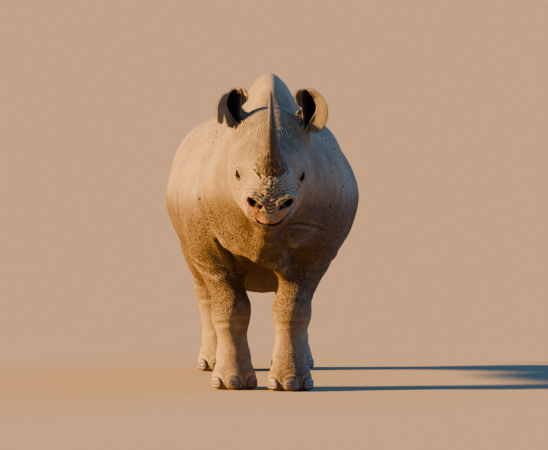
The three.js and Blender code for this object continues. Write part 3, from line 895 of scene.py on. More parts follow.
# ---------------------------------------------------------------- folds and wrinkles
def crease(p, path, width, deep, swell=0.35):
    """A furrow along a path, with a low swelling on both sides; negative is inwards."""
    path = [column(point) for point in path]
    near = within(p, np.min(path, axis=0) - 4 * width, np.max(path, axis=0) + 4 * width)
    far = np.full(len(near), np.inf, np.float32)
    share = np.zeros(len(near), np.float32)
    q = p[:, near]
    for i, (a, b) in enumerate(zip(path, path[1:])):
        t = np.clip(((q - a) * (b - a)).sum(0) / ((b - a) ** 2).sum(), 0, 1)
        own = lengths(q - a - (b - a) * t)
        share = np.where(own < far, (i + t) / (len(path) - 1), share)
        far = np.minimum(far, own)
    fade = np.sqrt(np.clip(4 * share * (1 - share), 0, 1)) * 0.8 + 0.2
    r = far / width
    found = np.zeros(p.shape[1], np.float32)
    found[near] = -deep * fade * (np.exp(-r * r) - swell * np.exp(-((r - 2) ** 2)))
    return found


def body_relief(p, n):
    """Swellings, ribs, loose folds and the coarse crumpling of the hide, in millimetres."""
    _, y, z = p
    flank = between(-350, 0, 900, 1150, y) * step_up(0.3, 0.8, np.abs(n[0]))
    neck = between(-1000, -860, -700, -420, y)
    legs = step_up(560, 420, z)
    low = step_up(900, 620, z)
    h = 2.6 * noise(p, 170, 1) + 1.5 * noise(p, 70, 2) + 0.6 * noise(p, 30, 3)
    h -= 1.8 * flank * furrows(p, (70, 56, 300), 0.26, 4)
    h -= 2.0 * neck * furrows(p, (110, 60, 140), 0.3, 5)
    h -= (0.5 + 1.2 * low) * furrows(p, (70, 70, 60), 0.3, 6)
    h -= 1.3 * legs * furrows(p, (130, 130, 52), 0.34, 7)
    return h * step_up(10, 60, z)


def stripes(v, spacing):
    """Rounded ridges with narrow valleys between them, from 0 in the valleys to 1."""
    return np.abs(np.sin(np.pi * v / spacing)) ** 0.7


def bridge_relief(q):
    """Crumpled knobs and chevrons between the front horn and the nostrils."""
    side, forward, high = q
    bridge = hump(NOSTRIL_SHIFT, 62, side) * step_up(240, 270, forward) * step_up(-104, -66, high)
    crumpled = pushed(q, 7, 20, 11)
    chevron = crumpled[2] - 0.55 * np.abs(crumpled[0] - NOSTRIL_SHIFT)
    h = 3.6 * (stripes(chevron, 17.5) - 0.62)
    h -= 4.6 * furrows(crumpled, (19, 24, 19), 0.34, 14)
    h += 2.6 * noise(crumpled, 15, 15)
    return bridge * h


def nostril_relief(q):
    """Arched wrinkles over each nostril."""
    off, forward, high = at_nostrils(q)
    reach = np.hypot(off - 74, (high + 54) * 1.1)
    arch = between(26, 36, 84, 104, reach) * step_up(-92, -62, high)
    arch = arch * step_up(210, 250, forward) * step_up(24, 44, off)
    return 2.8 * arch * (stripes(reach + 4 * noise(q, 30, 16), 13.5) - 0.6)


BROW_SPACING = 11.5


def brow_place(q, z):
    """How strong the slanting wrinkles of the forehead are, and how many lie before a point."""
    side, forward, _ = q
    off = np.abs(side)
    brow = between(1150, 1200, 1320, 1350, z) * step_up(40, -10, forward)
    brow = brow * step_up(165, 130, off) * step_up(-0.7, 0.1, noise(q, 30, 23))
    brow = brow * (0.55 + 0.45 * step_up(-30, 10, side))
    fan = off + 0.66 * (z - 1250) + 9 * noise(q, 46, 18) + 1.6 * noise(q, 18, 32)
    return brow, fan / BROW_SPACING


def brow_relief(q, z):
    """Fine slanting wrinkles that spread from the middle of the forehead."""
    brow, fan = brow_place(q, z)
    return 2.6 * brow * (stripes(fan, 1) - 0.6)


# Rings of wrinkles round an eye: how far out, how wide, and how strong.
EYE_RINGS = [(1.35, 0.17, 1), (1.85, 0.19, 0.7), (2.4, 0.21, 0.5)]
TEAR_STARTS = (-4, 13)  # where the two creases below an eye start along its slit


def tear_tracks(along, across, out, width, span):
    """How near a place below an eye lies to each of the creases there, from 0 to 1."""
    share = step_up(-60, -40, out) * between(*span, across)
    return [share * hump(0, width, along - start - 0.3 * across) for start in TEAR_STARTS]


def eye_relief(p):
    """Rings of wrinkles round each eye, and two creases that run down from it."""
    h = np.zeros(p.shape[1], np.float32)
    for middle, axes in EYES.values():
        along, across, out = axes @ (p - middle)
        reach = np.hypot(along / 30, across / 19) + 0.26 * noise(p, 24, 19)
        facing = step_up(-40, -10, out) * (0.6 + 0.6 * noise(p, 20, 28))
        rings = sum(strong * hump(far, width, reach) for far, width, strong in EYE_RINGS)
        h -= 3.0 * facing * rings
        h -= 2.4 * sum(tear_tracks(along, across, out, 3.4, (-52, -42, -18, -12)))
    return h


def head_relief(p):
    """Wrinkles of the muzzle, brow and lids, in millimetres, for points near the head."""
    q = into_head(p)
    _, forward, high = q
    h = bridge_relief(q) + nostril_relief(q) + brow_relief(q, p[2]) + eye_relief(p)
    lips = step_up(200, 260, forward) * hump(-126, 34, high)
    h -= 1.3 * lips * furrows(q, (14, 40, 40), 0.4, 20)
    cheek = step_up(190, 130, forward)
    h += 0.8 * noise(q, 18, 21) - 1.5 * cheek * furrows(pushed(q, 8, 34, 24), 36, 0.3, 22)
    return h


# ---------------------------------------------------------------- creases drawn one by one
def head_line(*points):
    return [out_of_head(column(point))[:, 0] for point in points]


# Each crease: its path, its width and its depth, and for one how high the swelling beside it is.
HEAD_CREASES = [
    # below the base of the front horn, on both sides
    (head_line((-84, 205, 92), (-72, 224, 92), (-58, 260, 85), (-40, 290, 72)), 5, 11),
    (head_line((92, 196, 84), (80, 232, 78), (66, 262, 66)), 5, 5),
    # below the eyes
    (head_line((-158, 76, 6), (-148, 86, -11), (-140, 95, 4)), 4, 5),
    (head_line((152, 72, 4), (157, 66, -17)), 5, 7),
    (head_line((137, 108, -10), (146, 90, -26), (150, 80, -40)), 5, 7),
    # from the corner of the mouth up the cheek
    (head_line((124, 120, -92), (138, 96, -60), (146, 60, -50)), 8, 5),
    (head_line((-124, 120, -92), (-138, 96, -60), (-146, 60, -50)), 8, 5),
]
BODY_CREASES = [
    # across the nape, behind the ears
    ([(-170, -905, 1250), (-90, -880, 1370), (-30, -870, 1390), (40, -880, 1375),
      (110, -905, 1260)], 16, 8),
    # throat
    ([(-230, -800, 1000), (-150, -850, 905), (-40, -865, 868), (70, -850, 900),
      (160, -800, 1000)], 18, 9),
    # between the folds of the breast, and beside them
    ([(-190, -620, 830), (-130, -650, 780), (-84, -660, 730)], 15, 8),
    ([(-262, -470, 760), (-236, -450, 710), (-196, -390, 648), (-160, -330, 590)], 20, 14),
    ([(60, -755, 832), (132, -705, 832), (184, -645, 822), (237, -548, 803),
      (285, -490, 778)], 10, 5, 0.0),
    ([(40, -690, 760), (90, -640, 690), (120, -590, 630)], 18, 8),
    # in front of and behind the shoulders
    ([(-330, -470, 1120), (-345, -480, 940), (-318, -510, 780), (-240, -520, 640)], 22, 8),
    ([(330, -470, 1120), (342, -500, 940), (310, -540, 780), (230, -560, 640)], 22, 8),
    ([(-420, -60, 1150), (-430, -40, 950), (-410, -60, 760), (-350, -110, 620)], 22, 9),
    ([(420, -100, 1150), (420, -80, 950), (385, -120, 760), (310, -160, 620)], 22, 9),
    # elbows
    ([(-380, -200, 640), (-340, -270, 600), (-250, -310, 575), (-170, -300, 590)], 16, 9),
    ([(330, -210, 660), (300, -300, 610), (200, -370, 585), (110, -340, 600)], 16, 9),
    # flank folds in front of the thighs
    ([(-440, 700, 900), (-425, 680, 760), (-360, 690, 620), (-300, 720, 560)], 22, 12),
    ([(430, 760, 900), (415, 740, 760), (350, 750, 620), (290, 780, 560)], 22, 12),
    # above the hocks
    ([(-340, 1010, 520), (-300, 940, 500), (-230, 925, 490)], 13, 8),
    ([(-330, 1030, 455), (-290, 985, 440), (-220, 975, 435)], 12, 7),
    ([(290, 1090, 520), (250, 1020, 500), (190, 1010, 490)], 13, 8),
    # buttocks, beside the tail
    ([(-90, 1330, 1180), (-110, 1390, 1020), (-95, 1400, 860), (-80, 1380, 720)], 20, 9),
    ([(70, 1330, 1180), (90, 1395, 1020), (75, 1400, 860), (60, 1380, 720)], 20, 9),
]


def around_leg(x, y, z, radius, turns=10):
    angles = [2 * math.pi * i / turns for i in range(turns + 1)]
    return [(x + radius * math.cos(a), y + radius * math.sin(a), z) for a in angles]


def leg_creases():
    """Rings where the hide gathers above the feet and at the knees and hocks."""
    found = []
    for _, joints, _, middle, _ in LEGS:
        ankle = shift(joints["fetlock"], 0, 0, -24)
        knee = shift(joints[middle], 0, -40, -60)
        found += [(around_leg(*ankle, 82), 11, 5), (around_leg(*knee, 70), 12, 3.5)]
    return found


NAIL_NODES = [f"nail_{leg[0]}_{toe}" for leg in LEGS for toe in NAIL_ANGLES]
CUTICLE_HIGH = 3.0
CUTICLE_RADIUS = 43
CUTICLE_WIDTH = 7


def cuticles(p):
    """A low rim of hide round each nail."""
    far = (lengths(p - node_middle(node)) for node in NAIL_NODES)
    return CUTICLE_HIGH * sum(hump(CUTICLE_RADIUS, CUTICLE_WIDTH, off) for off in far)


def on_ears(p):
    """1 on the ears above their roots, 0 elsewhere."""
    found = np.zeros(p.shape[1], np.float32)
    for node in EARS:
        near = near_ear(p, node, 0)
        off, rim, local = ear_sheet(p[:, near], node)
        sheet = step_up(26, 14, np.abs(off)) * step_up(24, 8, rim)
        found[near] = sheet * step_up(-5, 25, local[2])
    return found


def relief(p, n):
    """All that is pressed into the smooth skin or raised from it."""
    h = body_relief(p, n)
    at_head = step_up(-880, -960, p[1])
    near = np.flatnonzero(at_head > 0)
    q, at_head = p[:, near], at_head[near]
    ears = on_ears(q)
    h[near] = h[near] * (1 - at_head) + head_relief(q) * at_head * (1 - ears)
    h[near] += ears * 0.8 * noise(q, 22, 30)
    for drawn in HEAD_CREASES + BODY_CREASES + leg_creases():
        h += crease(p, *drawn)
    return h + cuticles(p)


# ---------------------------------------------------------------- meshes
def new_object(name, points, faces, marks, material):
    """An object in metres from points in millimetres; a mark holds a number for each vertex."""
    mesh = bpy.data.meshes.new(name)
    faces = np.asarray(faces)
    sides = faces.shape[1]
    mesh.vertices.add(points.shape[1])
    mesh.vertices.foreach_set("co", (points.T * MM).astype(np.float32).ravel())
    mesh.loops.add(faces.size)
    mesh.loops.foreach_set("vertex_index", faces.astype(np.int32).ravel())
    mesh.polygons.add(len(faces))
    mesh.polygons.foreach_set("loop_start", np.arange(0, faces.size, sides, dtype=np.int32))
    mesh.polygons.foreach_set("use_smooth", np.full(len(faces), True))
    mesh.update(calc_edges=True)
    for mark, values in marks.items():
        layer = mesh.attributes.new(mark, "FLOAT", "POINT")
        layer.data.foreach_set("value", np.ascontiguousarray(values, np.float32))
    mesh.validate()
    made = bpy.data.objects.new(name, mesh)
    bpy.context.scene.collection.objects.link(made)
    mesh.materials.append(material)
    return made


def place_piece(made, nodes=()):
    """Puts a piece on the body, and in the place of the solids that it dresses."""
    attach(made, "root")
    if nodes:
        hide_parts(*nodes)


def neighbour_mean(values, quads):
    """The mean over the four neighbours that each vertex has along the edges of its quads."""
    total = np.zeros(len(values))
    count = np.zeros(len(values))
    for k in range(4):
        for other in (quads[:, (k + 1) % 4], quads[:, (k + 3) % 4]):
            total += np.bincount(quads[:, k], values[other], len(values))
            count += np.bincount(quads[:, k], minlength=len(values))
    return (total / np.maximum(count, 1)).astype(np.float32)


# ---------------------------------------------------------------- materials
MIX_A, MIX_B, MIX_RESULT = 6, 7, 2  # sockets of the mix node that hold its colours
EDGE = "DISTANCE_TO_EDGE"
EVEN = (1, 1, 1)


class Nodes:
    """Short ways to make and link the nodes of one tree. A source is a socket or a plain value."""

    def __init__(self, tree):
        self.tree = tree

    def fill(self, node, inputs):
        """Gives the named inputs of a node their sources."""
        for name, source in inputs.items():
            socket = node.inputs[name]
            if isinstance(source, bpy.types.NodeSocket):
                self.tree.links.new(source, socket)
            elif socket.type == "RGBA":
                socket.default_value = (*source, 1.0)
            else:
                socket.default_value = source
        return node

    def node(self, kind, inputs=None, **settings):
        made = self.tree.nodes.new(kind)
        for key, value in settings.items():
            setattr(made, key, value)
        return self.fill(made, inputs or {})

    def place(self):
        return self.node("ShaderNodeTexCoord").outputs["Object"]

    def mark(self, name):
        return self.node("ShaderNodeAttribute", attribute_name=name).outputs["Fac"]

    def warped(self, size, amount):
        """Places pushed about by noise, so that patterns laid on them look less regular."""
        swing = self.node("ShaderNodeTexNoise", {"Scale": 1 / size, "Vector": self.place()})
        inputs = {0: swing.outputs["Color"], 1: (amount, amount, amount), 2: self.place()}
        push = self.node("ShaderNodeVectorMath", inputs, operation="MULTIPLY_ADD")
        return push.outputs["Vector"]

    def scaled(self, size, stretch, at):
        inputs = {"Vector": at or self.place(), "Scale": [1 / (size * s) for s in stretch]}
        return self.node("ShaderNodeMapping", inputs).outputs["Vector"]

    def noise(self, size, detail, rough, stretch=EVEN, at=None):
        """Noise whose swings are about size metres long, longer along the axes in stretch."""
        inputs = {"Vector": self.scaled(size, stretch, at), "Scale": 1}
        inputs |= {"Detail": detail, "Roughness": rough}
        return self.node("ShaderNodeTexNoise", inputs).outputs["Fac"]

    def cells(self, size, feature="F1", at=None):
        """How far a place lies from the middle, or from the edge, of the cell that it is in."""
        inputs = {"Vector": self.scaled(size, EVEN, at), "Scale": 1}
        return self.node("ShaderNodeTexVoronoi", inputs, feature=feature).outputs["Distance"]

    def band(self, source, low, high, top=1.0):
        """Goes smoothly from 0 at low to top at high; low may be the greater."""
        inputs = {"Value": source, "From Min": low, "From Max": high, "To Max": top}
        made = self.node("ShaderNodeMapRange", inputs, interpolation_type="SMOOTHSTEP")
        return made.outputs["Result"]

    def math(self, operation, a, b=0.0):
        return self.node("ShaderNodeMath", {0: a, 1: b}, operation=operation).outputs[0]

    def times(self, a, b):
        return self.math("MULTIPLY", a, b)

    def plus(self, a, b):
        return self.math("ADD", a, b)

    def mix(self, amount, a, b):
        """From colour a to colour b."""
        inputs = {"Factor": amount, MIX_A: a, MIX_B: b}
        return self.node("ShaderNodeMix", inputs, data_type="RGBA").outputs[MIX_RESULT]

    def bump(self, height, distance, under=None):
        """Relief in metres; a distance below 0 presses inwards."""
        inputs = {"Height": height, "Distance": abs(distance), "Strength": 1.0}
        if under:
            inputs["Normal"] = under
        return self.node("ShaderNodeBump", inputs, invert=distance < 0).outputs["Normal"]


class Material(Nodes):
    """The nodes of one material, which all feed its one shader."""

    def __init__(self, name):
        self.material = bpy.data.materials.new(name)
        self.material.use_nodes = True
        super().__init__(self.material.node_tree)

    def finish(self, colour, roughness, more):
        shader = self.tree.nodes["Principled BSDF"]
        self.fill(shader, {"Base Color": colour, "Roughness": roughness, **more})
        return self.material


# Colours, as linear shares of red, green and blue.
TAN = (0.280, 0.205, 0.108)
CLAY = (0.184, 0.136, 0.074)
DUST = (0.40, 0.310, 0.158)
ASH = (0.320, 0.262, 0.160)
# dark dirt of the cracks and grain, and also painted shade in hollows, wrinkle valleys and the
# mouth slit
DIRT_AND_SHADE = (0.050, 0.032, 0.020)
SPECK = (0.022, 0.016, 0.013)
OCHRE = (0.205, 0.122, 0.048)
LIP = (0.40, 0.180, 0.066)
LIP_DARK = (0.21, 0.105, 0.052)
# painted shade inside the nostrils
NOSTRIL_SHADE = (0.016, 0.010, 0.009)
# painted shade in the ears' channels
EAR_CHANNEL_SHADE = (0.050, 0.038, 0.034)
WET = (0.055, 0.043, 0.036)


def hide_material():
    """Dusty grey brown, cracked, grainy on the chest, and marked by what hide_marks gives, painted
    shade among it.
    """
    m = Material("hide")
    dusty = m.times(m.mark("dusty"), m.band(m.noise(0.3, 4, 0.6), 0.3, 0.6))
    colour = m.mix(m.band(m.noise(0.16, 6, 0.65), 0.38, 0.64), CLAY, TAN)
    colour = m.mix(m.band(m.noise(0.030, 5, 0.7), 0.50, 0.74, 0.50), colour, DUST)
    colour = m.mix(m.band(m.noise(0.010, 3, 0.7), 0.56, 0.76, 0.35), colour, DIRT_AND_SHADE)
    colour = m.mix(dusty, colour, ASH)

    # a net of fine cracks over the whole hide, with a coarser one among them
    warped = m.warped(0.020, 0.016)
    fine = m.band(m.cells(0.011, EDGE, warped), 0.16, 0.0)
    broad = m.band(m.cells(0.030, EDGE, warped), 0.10, 0.0)
    worn = m.band(m.noise(0.06, 4, 0.6), 0.40, 0.66)
    cracks = m.math("MAXIMUM", m.times(fine, 0.6), m.times(broad, worn))
    colour = m.mix(m.times(cracks, 0.42), colour, DIRT_AND_SHADE)

    # coarse hide of the chest, throat and belly: ochre grains with dark lines between them
    lines = m.band(m.cells(0.0115, EDGE, m.warped(0.012, 0.010)), 0.20, 0.0)
    patches = m.times(m.mark("coarse"), m.band(m.noise(0.12, 4, 0.6), 0.16, 0.48))
    colour = m.mix(m.times(patches, 0.85), colour, m.mix(lines, OCHRE, DIRT_AND_SHADE))

    # fine slanting wrinkles of the forehead, with painted shade in their valleys
    ridged = m.math("ABSOLUTE", m.math("SINE", m.times(m.mark("fan"), math.pi)))
    furrow = m.times(m.band(ridged, 0.8, 0.1), m.mark("brow"))
    colour = m.mix(m.times(furrow, 0.6), colour, DIRT_AND_SHADE)

    # small dark specks on the flanks, closer together on the shoulders
    strewn = m.plus(m.noise(0.16, 2, 0.5), m.times(m.mark("specked"), 0.09))
    specks = m.times(m.band(m.cells(0.033), 0.21, 0.16), m.band(strewn, 0.50, 0.56))
    colour = m.mix(m.times(specks, m.band(m.mark("specked"), 0.0, 0.3)), colour, SPECK)

    lip = m.mix(m.band(m.noise(0.014, 5, 0.7), 0.36, 0.60), LIP_DARK, LIP)
    marked = [
        # painted shade darkens the hollows of the hide
        ("hollow_shade", 0.80, DIRT_AND_SHADE),
        ("ridge", 0.50, DUST),
        ("lip", 0.80, lip),
        # painted shade fills the ears' channels
        ("ear_channel_shade", 1.0, EAR_CHANNEL_SHADE),
        ("wet", 1.0, WET),
        # painted shade along the slit of the mouth
        ("mouth_slit_shade", 1.0, DIRT_AND_SHADE),
        # painted shade fills the nostrils
        ("bore", 1.0, NOSTRIL_SHADE),
    ]
    for mark, share, tint in marked:
        colour = m.mix(m.times(m.mark(mark), share), colour, tint)

    normal = m.bump(cracks, -0.0012)
    normal = m.bump(furrow, -0.0040, normal)
    normal = m.bump(m.noise(0.0065, 5, 0.65), 0.0014, normal)
    normal = m.bump(m.times(lines, patches), -0.0055, normal)
    roughness = m.plus(m.band(m.noise(0.02, 3, 0.5), 0.3, 0.7, 0.14), 0.72)
    roughness = m.plus(roughness, m.times(m.mark("wet"), -0.35))
    return m.finish(colour, roughness, {"Normal": normal, "Specular IOR Level": 0.35})


HORN_DARK = (0.026, 0.022, 0.019)
HORN_GREY = (0.128, 0.086, 0.036)
HORN_OLIVE = (0.150, 0.094, 0.026)
HORN_STRAW = (0.31, 0.195, 0.046)


def horn_material():
    """Dark and smooth above, ochre and fibrous at the base; fibres run along the horn."""
    m = Material("horn")
    along, turn = m.mark("along"), m.mark("round")
    unrolled = {"X": m.times(along, 2.2), "Y": m.math("COSINE", turn), "Z": m.math("SINE", turn)}
    at = m.node("ShaderNodeCombineXYZ", unrolled).outputs["Vector"]
    fibres = m.noise(0.055, 4, 0.6, at=at)
    top = m.mix(m.band(fibres, 0.42, 0.66), HORN_DARK, HORN_GREY)
    base = m.mix(m.band(fibres, 0.38, 0.60), HORN_OLIVE, HORN_STRAW)
    base = m.mix(m.band(m.noise(0.16, 6, 0.75, at=at), 0.42, 0.52, 0.96), base, HORN_DARK)
    edge = m.plus(along, m.times(m.noise(0.05, 3, 0.6), 0.30))
    colour = m.mix(m.band(edge, 0.42, 0.72), base, top)
    # painted shade in the hollows of the horn's relief
    colour = m.mix(m.times(m.mark("hollow_shade"), 0.8), colour, HORN_DARK)
    normal = m.bump(m.noise(0.004, 4, 0.6), 0.0006, m.bump(fibres, 0.0012))
    roughness = m.plus(m.times(m.band(along, 0.2, 0.9), -0.26), 0.72)
    return m.finish(colour, roughness, {"Normal": normal})


NAIL_DARK = (0.075, 0.058, 0.045)
NAIL_PALE = (0.17, 0.135, 0.10)


def nail_material():
    m = Material("nail")
    streaks = m.noise(0.006, 4, 0.6, (1, 1, 5))
    colour = m.mix(m.band(streaks, 0.35, 0.65), NAIL_DARK, NAIL_PALE)
    colour = m.mix(m.band(m.noise(0.02, 4, 0.6), 0.5, 0.7, 0.5), colour, DUST)
    return m.finish(colour, 0.55, {"Normal": m.bump(streaks, 0.0010)})


PUPIL = (0.003, 0.003, 0.003)
IRIS_DARK = (0.022, 0.011, 0.006)
IRIS_PALE = (0.075, 0.036, 0.016)
EYE_EDGE = (0.035, 0.022, 0.016)


def eye_material():
    """Dark brown with a wide pupil, under a thin wet coat."""
    m = Material("eye")
    off = m.mark("off_axis")
    iris = m.mix(m.band(m.noise(0.003, 4, 0.7), 0.4, 0.65), IRIS_DARK, IRIS_PALE)
    colour = m.mix(m.band(off, 0.30, 0.36), PUPIL, iris)
    colour = m.mix(m.band(off, 0.70, 0.84), colour, EYE_EDGE)
    wet = {"Coat Weight": 0.06, "Coat Roughness": 0.08, "Specular IOR Level": 0.05}
    return m.finish(colour, 0.45, wet)


HAIR_DARK = (0.020, 0.015, 0.012)
HAIR_PALE = (0.085, 0.062, 0.045)


def hair_material():
    m = Material("hair")
    colour = m.mix(m.band(m.noise(0.02, 3, 0.6), 0.4, 0.6), HAIR_DARK, HAIR_PALE)
    return m.finish(colour, 0.5, {"Normal": m.bump(m.noise(0.003, 2, 0.5), 0.0004)})


# ---------------------------------------------------------------- hide
def muzzle_front(off):
    """How far forward the muzzle reaches at a distance from its middle, level with the nostrils."""
    return 352 - 0.0031 * off**2


def hollows(p, n, quads):
    """How far each vertex lies below its neighbours, as a share of the mesh size."""
    hollow = sum((neighbour_mean(p[a], quads) - p[a]) * n[a] for a in range(3))
    return neighbour_mean(hollow / cell_size(p[1]), quads)


def mouth_marks(q, bore):
    """Painted shade along the slit of the mouth, the bright edge of the lips, and the coarse chin.
    """
    side, forward, high = q
    above = high - mouth_height(side, forward)
    mouth_slit_shade = between(-16, -10, 4.5, 7.5, above) * step_up(140, 200, forward)
    chin = step_up(2, -10, above) * step_up(150, 230, forward) * step_up(-90, -110, high)
    ragged = above + 4 * noise(q, 22, 27)
    reach = 34 + 30 * step_up(14, 40, at_nostrils(q)[0])
    lip = step_up(258, 302, forward) * step_up(-20, -44, high)
    lip = lip * between(-6, 2, reach - 18, reach, ragged)
    floor = step_up(14, 4, bore) * step_up(-30, -50, high) * step_up(290, 316, forward)
    # the lip colour is weaker on the head's left side: painted shade
    return mouth_slit_shade, np.maximum(lip, floor) * (1 - 0.6 * step_up(0, 40, side)), chin


def wet_mark(p):
    """The opening between the lids, and the dark tracks of the tears."""
    wet = np.zeros(p.shape[1], np.float32)
    for middle, axes in EYES.values():
        along, across, out = axes @ (p - middle)
        reach = np.hypot(along / SLIT[0], across / SLIT[1])
        opening = step_up(1.55, 1.15, reach) * step_up(-10, 5, out)
        tracks = np.maximum(*tear_tracks(along, across, out, 4.2, (-54, -42, -12, -6)))
        wet = np.maximum(wet, np.maximum(opening, 0.8 * tracks))
    return wet


def ear_channel_shade_mark(p):
    """1 in the channel of an ear, on its open side, which is darkened with painted shade."""
    inside = np.zeros(p.shape[1], np.float32)
    for node in EARS:
        near = near_ear(p, node, 0)
        off, rim, local = ear_sheet(p[:, near], node)
        share, _, _ = channel_share(local[0], local[2])
        channel = step_up(1.02, 0.62, np.abs(share)) * step_up(8, 40, local[2])
        inside[near] = channel * step_up(0, 3, off) * step_up(2, -8, rim)
    return inside


def hide_marks(p, n, quads):
    """What the hide's material reads at each vertex: shares from 0 to 1, among them painted shade
    for hollows, ear channels, the mouth slit and the nostrils, and the brow's fan.
    """
    _, y, z = p
    q = into_head(p)
    off, forward, _ = at_nostrils(q)
    at_head = step_up(-900, -980, y)
    hollow = hollows(p, n, quads)
    bore = alone(at_nostrils(q), NOSTRIL_FORMS)
    mouth_slit_shade, lip, chin = mouth_marks(q, bore)
    inside = ear_channel_shade_mark(p)
    brow, fan = brow_place(q, z)
    belly = step_up(1010, 820, z) * between(-1000, -900, 900, 1200, y) * step_up(300, 460, z)
    breast = step_up(-380, -520, y) * step_up(1020, 850, z)
    flank = step_up(-600, -480, y) * between(620, 760, 1300, 1400, z)
    return {
        # painted shade: darker where a vertex lies below its neighbours
        "hollow_shade": step_up(0.010, 0.075, hollow),
        "ridge": step_up(0.006, 0.050, -hollow) * (1 - inside),
        "coarse": np.maximum(np.maximum(belly, breast) * (1 - at_head), chin * at_head),
        "dusty": 0.55 * step_up(-760, -420, y) * step_up(640, 900, z),
        "specked": flank * (0.35 + 0.65 * step_up(250, -50, y)),
        "lip": lip * at_head,
        "ear_channel_shade": inside,
        "wet": wet_mark(p) * at_head,
        "brow": brow * at_head,
        "fan": fan,
        "mouth_slit_shade": mouth_slit_shade * at_head,
        # painted shade fills the nostrils behind the front of the muzzle
        "bore": step_up(4, 0, bore) * step_up(2, 14, muzzle_front(off) - forward) * at_head,
    }


FLESH_NODES = ["head", "lower_jaw", "neck", "chest", "barrel", "rump", "tail", *EARS]
for foot_name, *_ in LEGS:
    leg_name = foot_name.replace("foot", "leg")
    FLESH_NODES += [f"{leg_name}_upper", f"{leg_name}_lower", foot_name]


def add_hide():
    """One closed skin: the field's surface, its relief, and its marks."""
    points, quads = surface(skin)
    normals = corner_normals(points, quads)
    points = points + normals * relief(points, normals)
    points[2] = np.maximum(points[2], 0)
    marks = hide_marks(points, corner_normals(points, quads), quads)
    made = new_object("hide", points, quads, marks, hide_material())
    place_piece(made, FLESH_NODES)


add_hide()


# ---------------------------------------------------------------- horns
# Side, forward, high in the head frame, radius, and how much deeper than wide.
HORNS = {
    "horn_front": [
        (4, 192, 60, 84, 1.04),
        (4, 226, 122, 72, 1.04),
        (3, 254, 172, 53, 1.12),
        (1, 272, 240, 35, 1.2),
        (-2, 275, 320, 25, 1.2),
        (-6, 262, 400, 14, 1.15),
        (-9, 236, 482, 3.5, 1),
    ],
    "horn_rear": [
        (0, 36, 96, 54, 1.2),
        (0, 44, 142, 43, 1.2),
        (-1, 56, 210, 26, 1.2),
        (-3, 56, 270, 13, 1.1),
        (-5, 48, 318, 3.5, 1),
    ],
}
HORN_STEPS = 170
HORN_SIDES = 110


def horn_rings(rows):
    """Each ring's share of the way up, centre, ways across and up, radius and depth."""
    stations = [(i / (len(rows) - 1), *row) for i, row in enumerate(rows)]
    t = np.linspace(0, 1, HORN_STEPS)
    *place_at, radius, deep = Spline(stations)(t)
    centres = out_of_head(np.stack(place_at))
    along = np.gradient(centres, axis=1)
    along = along / lengths(along)
    across = column((1, 0, 0)) - along * along[0]
    across = across / lengths(across)
    return t, centres, across, np.cross(along, across, axis=0), radius, deep


def grid_places(rows, columns):
    """The two entries of each place of a grid, row by row."""
    return (g.ravel() for g in np.meshgrid(rows, columns, indexing="ij"))


def tube_faces(rings, sides):
    """Triangles between rings of vertices, and to the two vertices after them: end and start."""
    i, j = grid_places(np.arange(rings - 1), np.arange(sides))
    a, b = sides * i + j, sides * i + (j + 1) % sides
    rim = np.arange(sides)
    after = (rim + 1) % sides
    last, end = sides * (rings - 1), sides * rings
    triangles = [
        (a, b, b + sides),
        (a, b + sides, a + sides),
        (last + rim, last + after, np.full_like(rim, end)),
        (after, rim, np.full_like(rim, end + 1)),
    ]
    return np.concatenate([np.stack(corners, 1) for corners in triangles])


def horn_relief(t, angle, radius, seed):
    """Bristling fibre ends at the base, growth rings, and fine fibres above, in millimetres."""
    base = step_up(0.62, 0.30, t)
    fibres = np.stack([60 * np.cos(angle), 60 * np.sin(angle), 420 * t])
    bumps = noise(fibres, (9, 9, 26), seed) + 0.6 * noise(fibres, (5, 5, 15), seed + 1)
    warts = noise(fibres, (17, 17, 22), seed + 2)
    threads = noise(fibres, (5, 5, 160), seed + 3)
    rings = stripes(t * 11 + 0.5 * noise(fibres, 50, seed + 4), 1) - 0.6
    swell = 1.2 * base * rings + base * (1.9 * bumps + 2.2 * warts) + 0.8 * threads
    return swell * np.clip(radius / 30, 0.15, 1)


def add_horn(name, seed, material):
    """Rings along the horn's curve, closed by a point above and a flat foot inside the head."""
    t, centres, across, up, radius, deep = horn_rings(HORNS[name])
    angles = np.linspace(0, 2 * math.pi, HORN_SIDES, endpoint=False, dtype=np.float32)
    share, turn = grid_places(t, angles)
    ring = np.repeat(np.arange(HORN_STEPS), HORN_SIDES)
    swell = horn_relief(share, turn, radius[ring], seed)
    wide = np.cos(turn) * (radius[ring] + swell)
    tall = np.sin(turn) * (radius[ring] * deep[ring] + swell)
    points = centres[:, ring] + across[:, ring] * wide + up[:, ring] * tall
    tip = centres[:, -1:] + (centres[:, -1:] - centres[:, -2:-1]) * 0.6
    points = np.concatenate([points, tip, centres[:, :1]], 1)
    # painted shade: darker where the relief sinks, low on the horn
    hollow_shade = step_up(0.3, 2.4, -swell) * step_up(0.7, 0.4, share)
    marks = {
        "along": np.append(share, (1, 0)),
        "round": np.append(turn, (0, 0)),
        "hollow_shade": np.append(hollow_shade, (0, 0)),
    }
    made = new_object(name, points, tube_faces(HORN_STEPS, HORN_SIDES), marks, material)
    place_piece(made, [name])


def add_horns():
    material = horn_material()
    add_horn("horn_front", 40, material)
    add_horn("horn_rear", 50, material)


add_horns()


# ---------------------------------------------------------------- eyes and nails
EYE_MESH = (40, 56)  # steps from pole to pole, and round
NAIL_MESH = (34, 48)
CORNEA = 0.8  # how far the clear front stands out


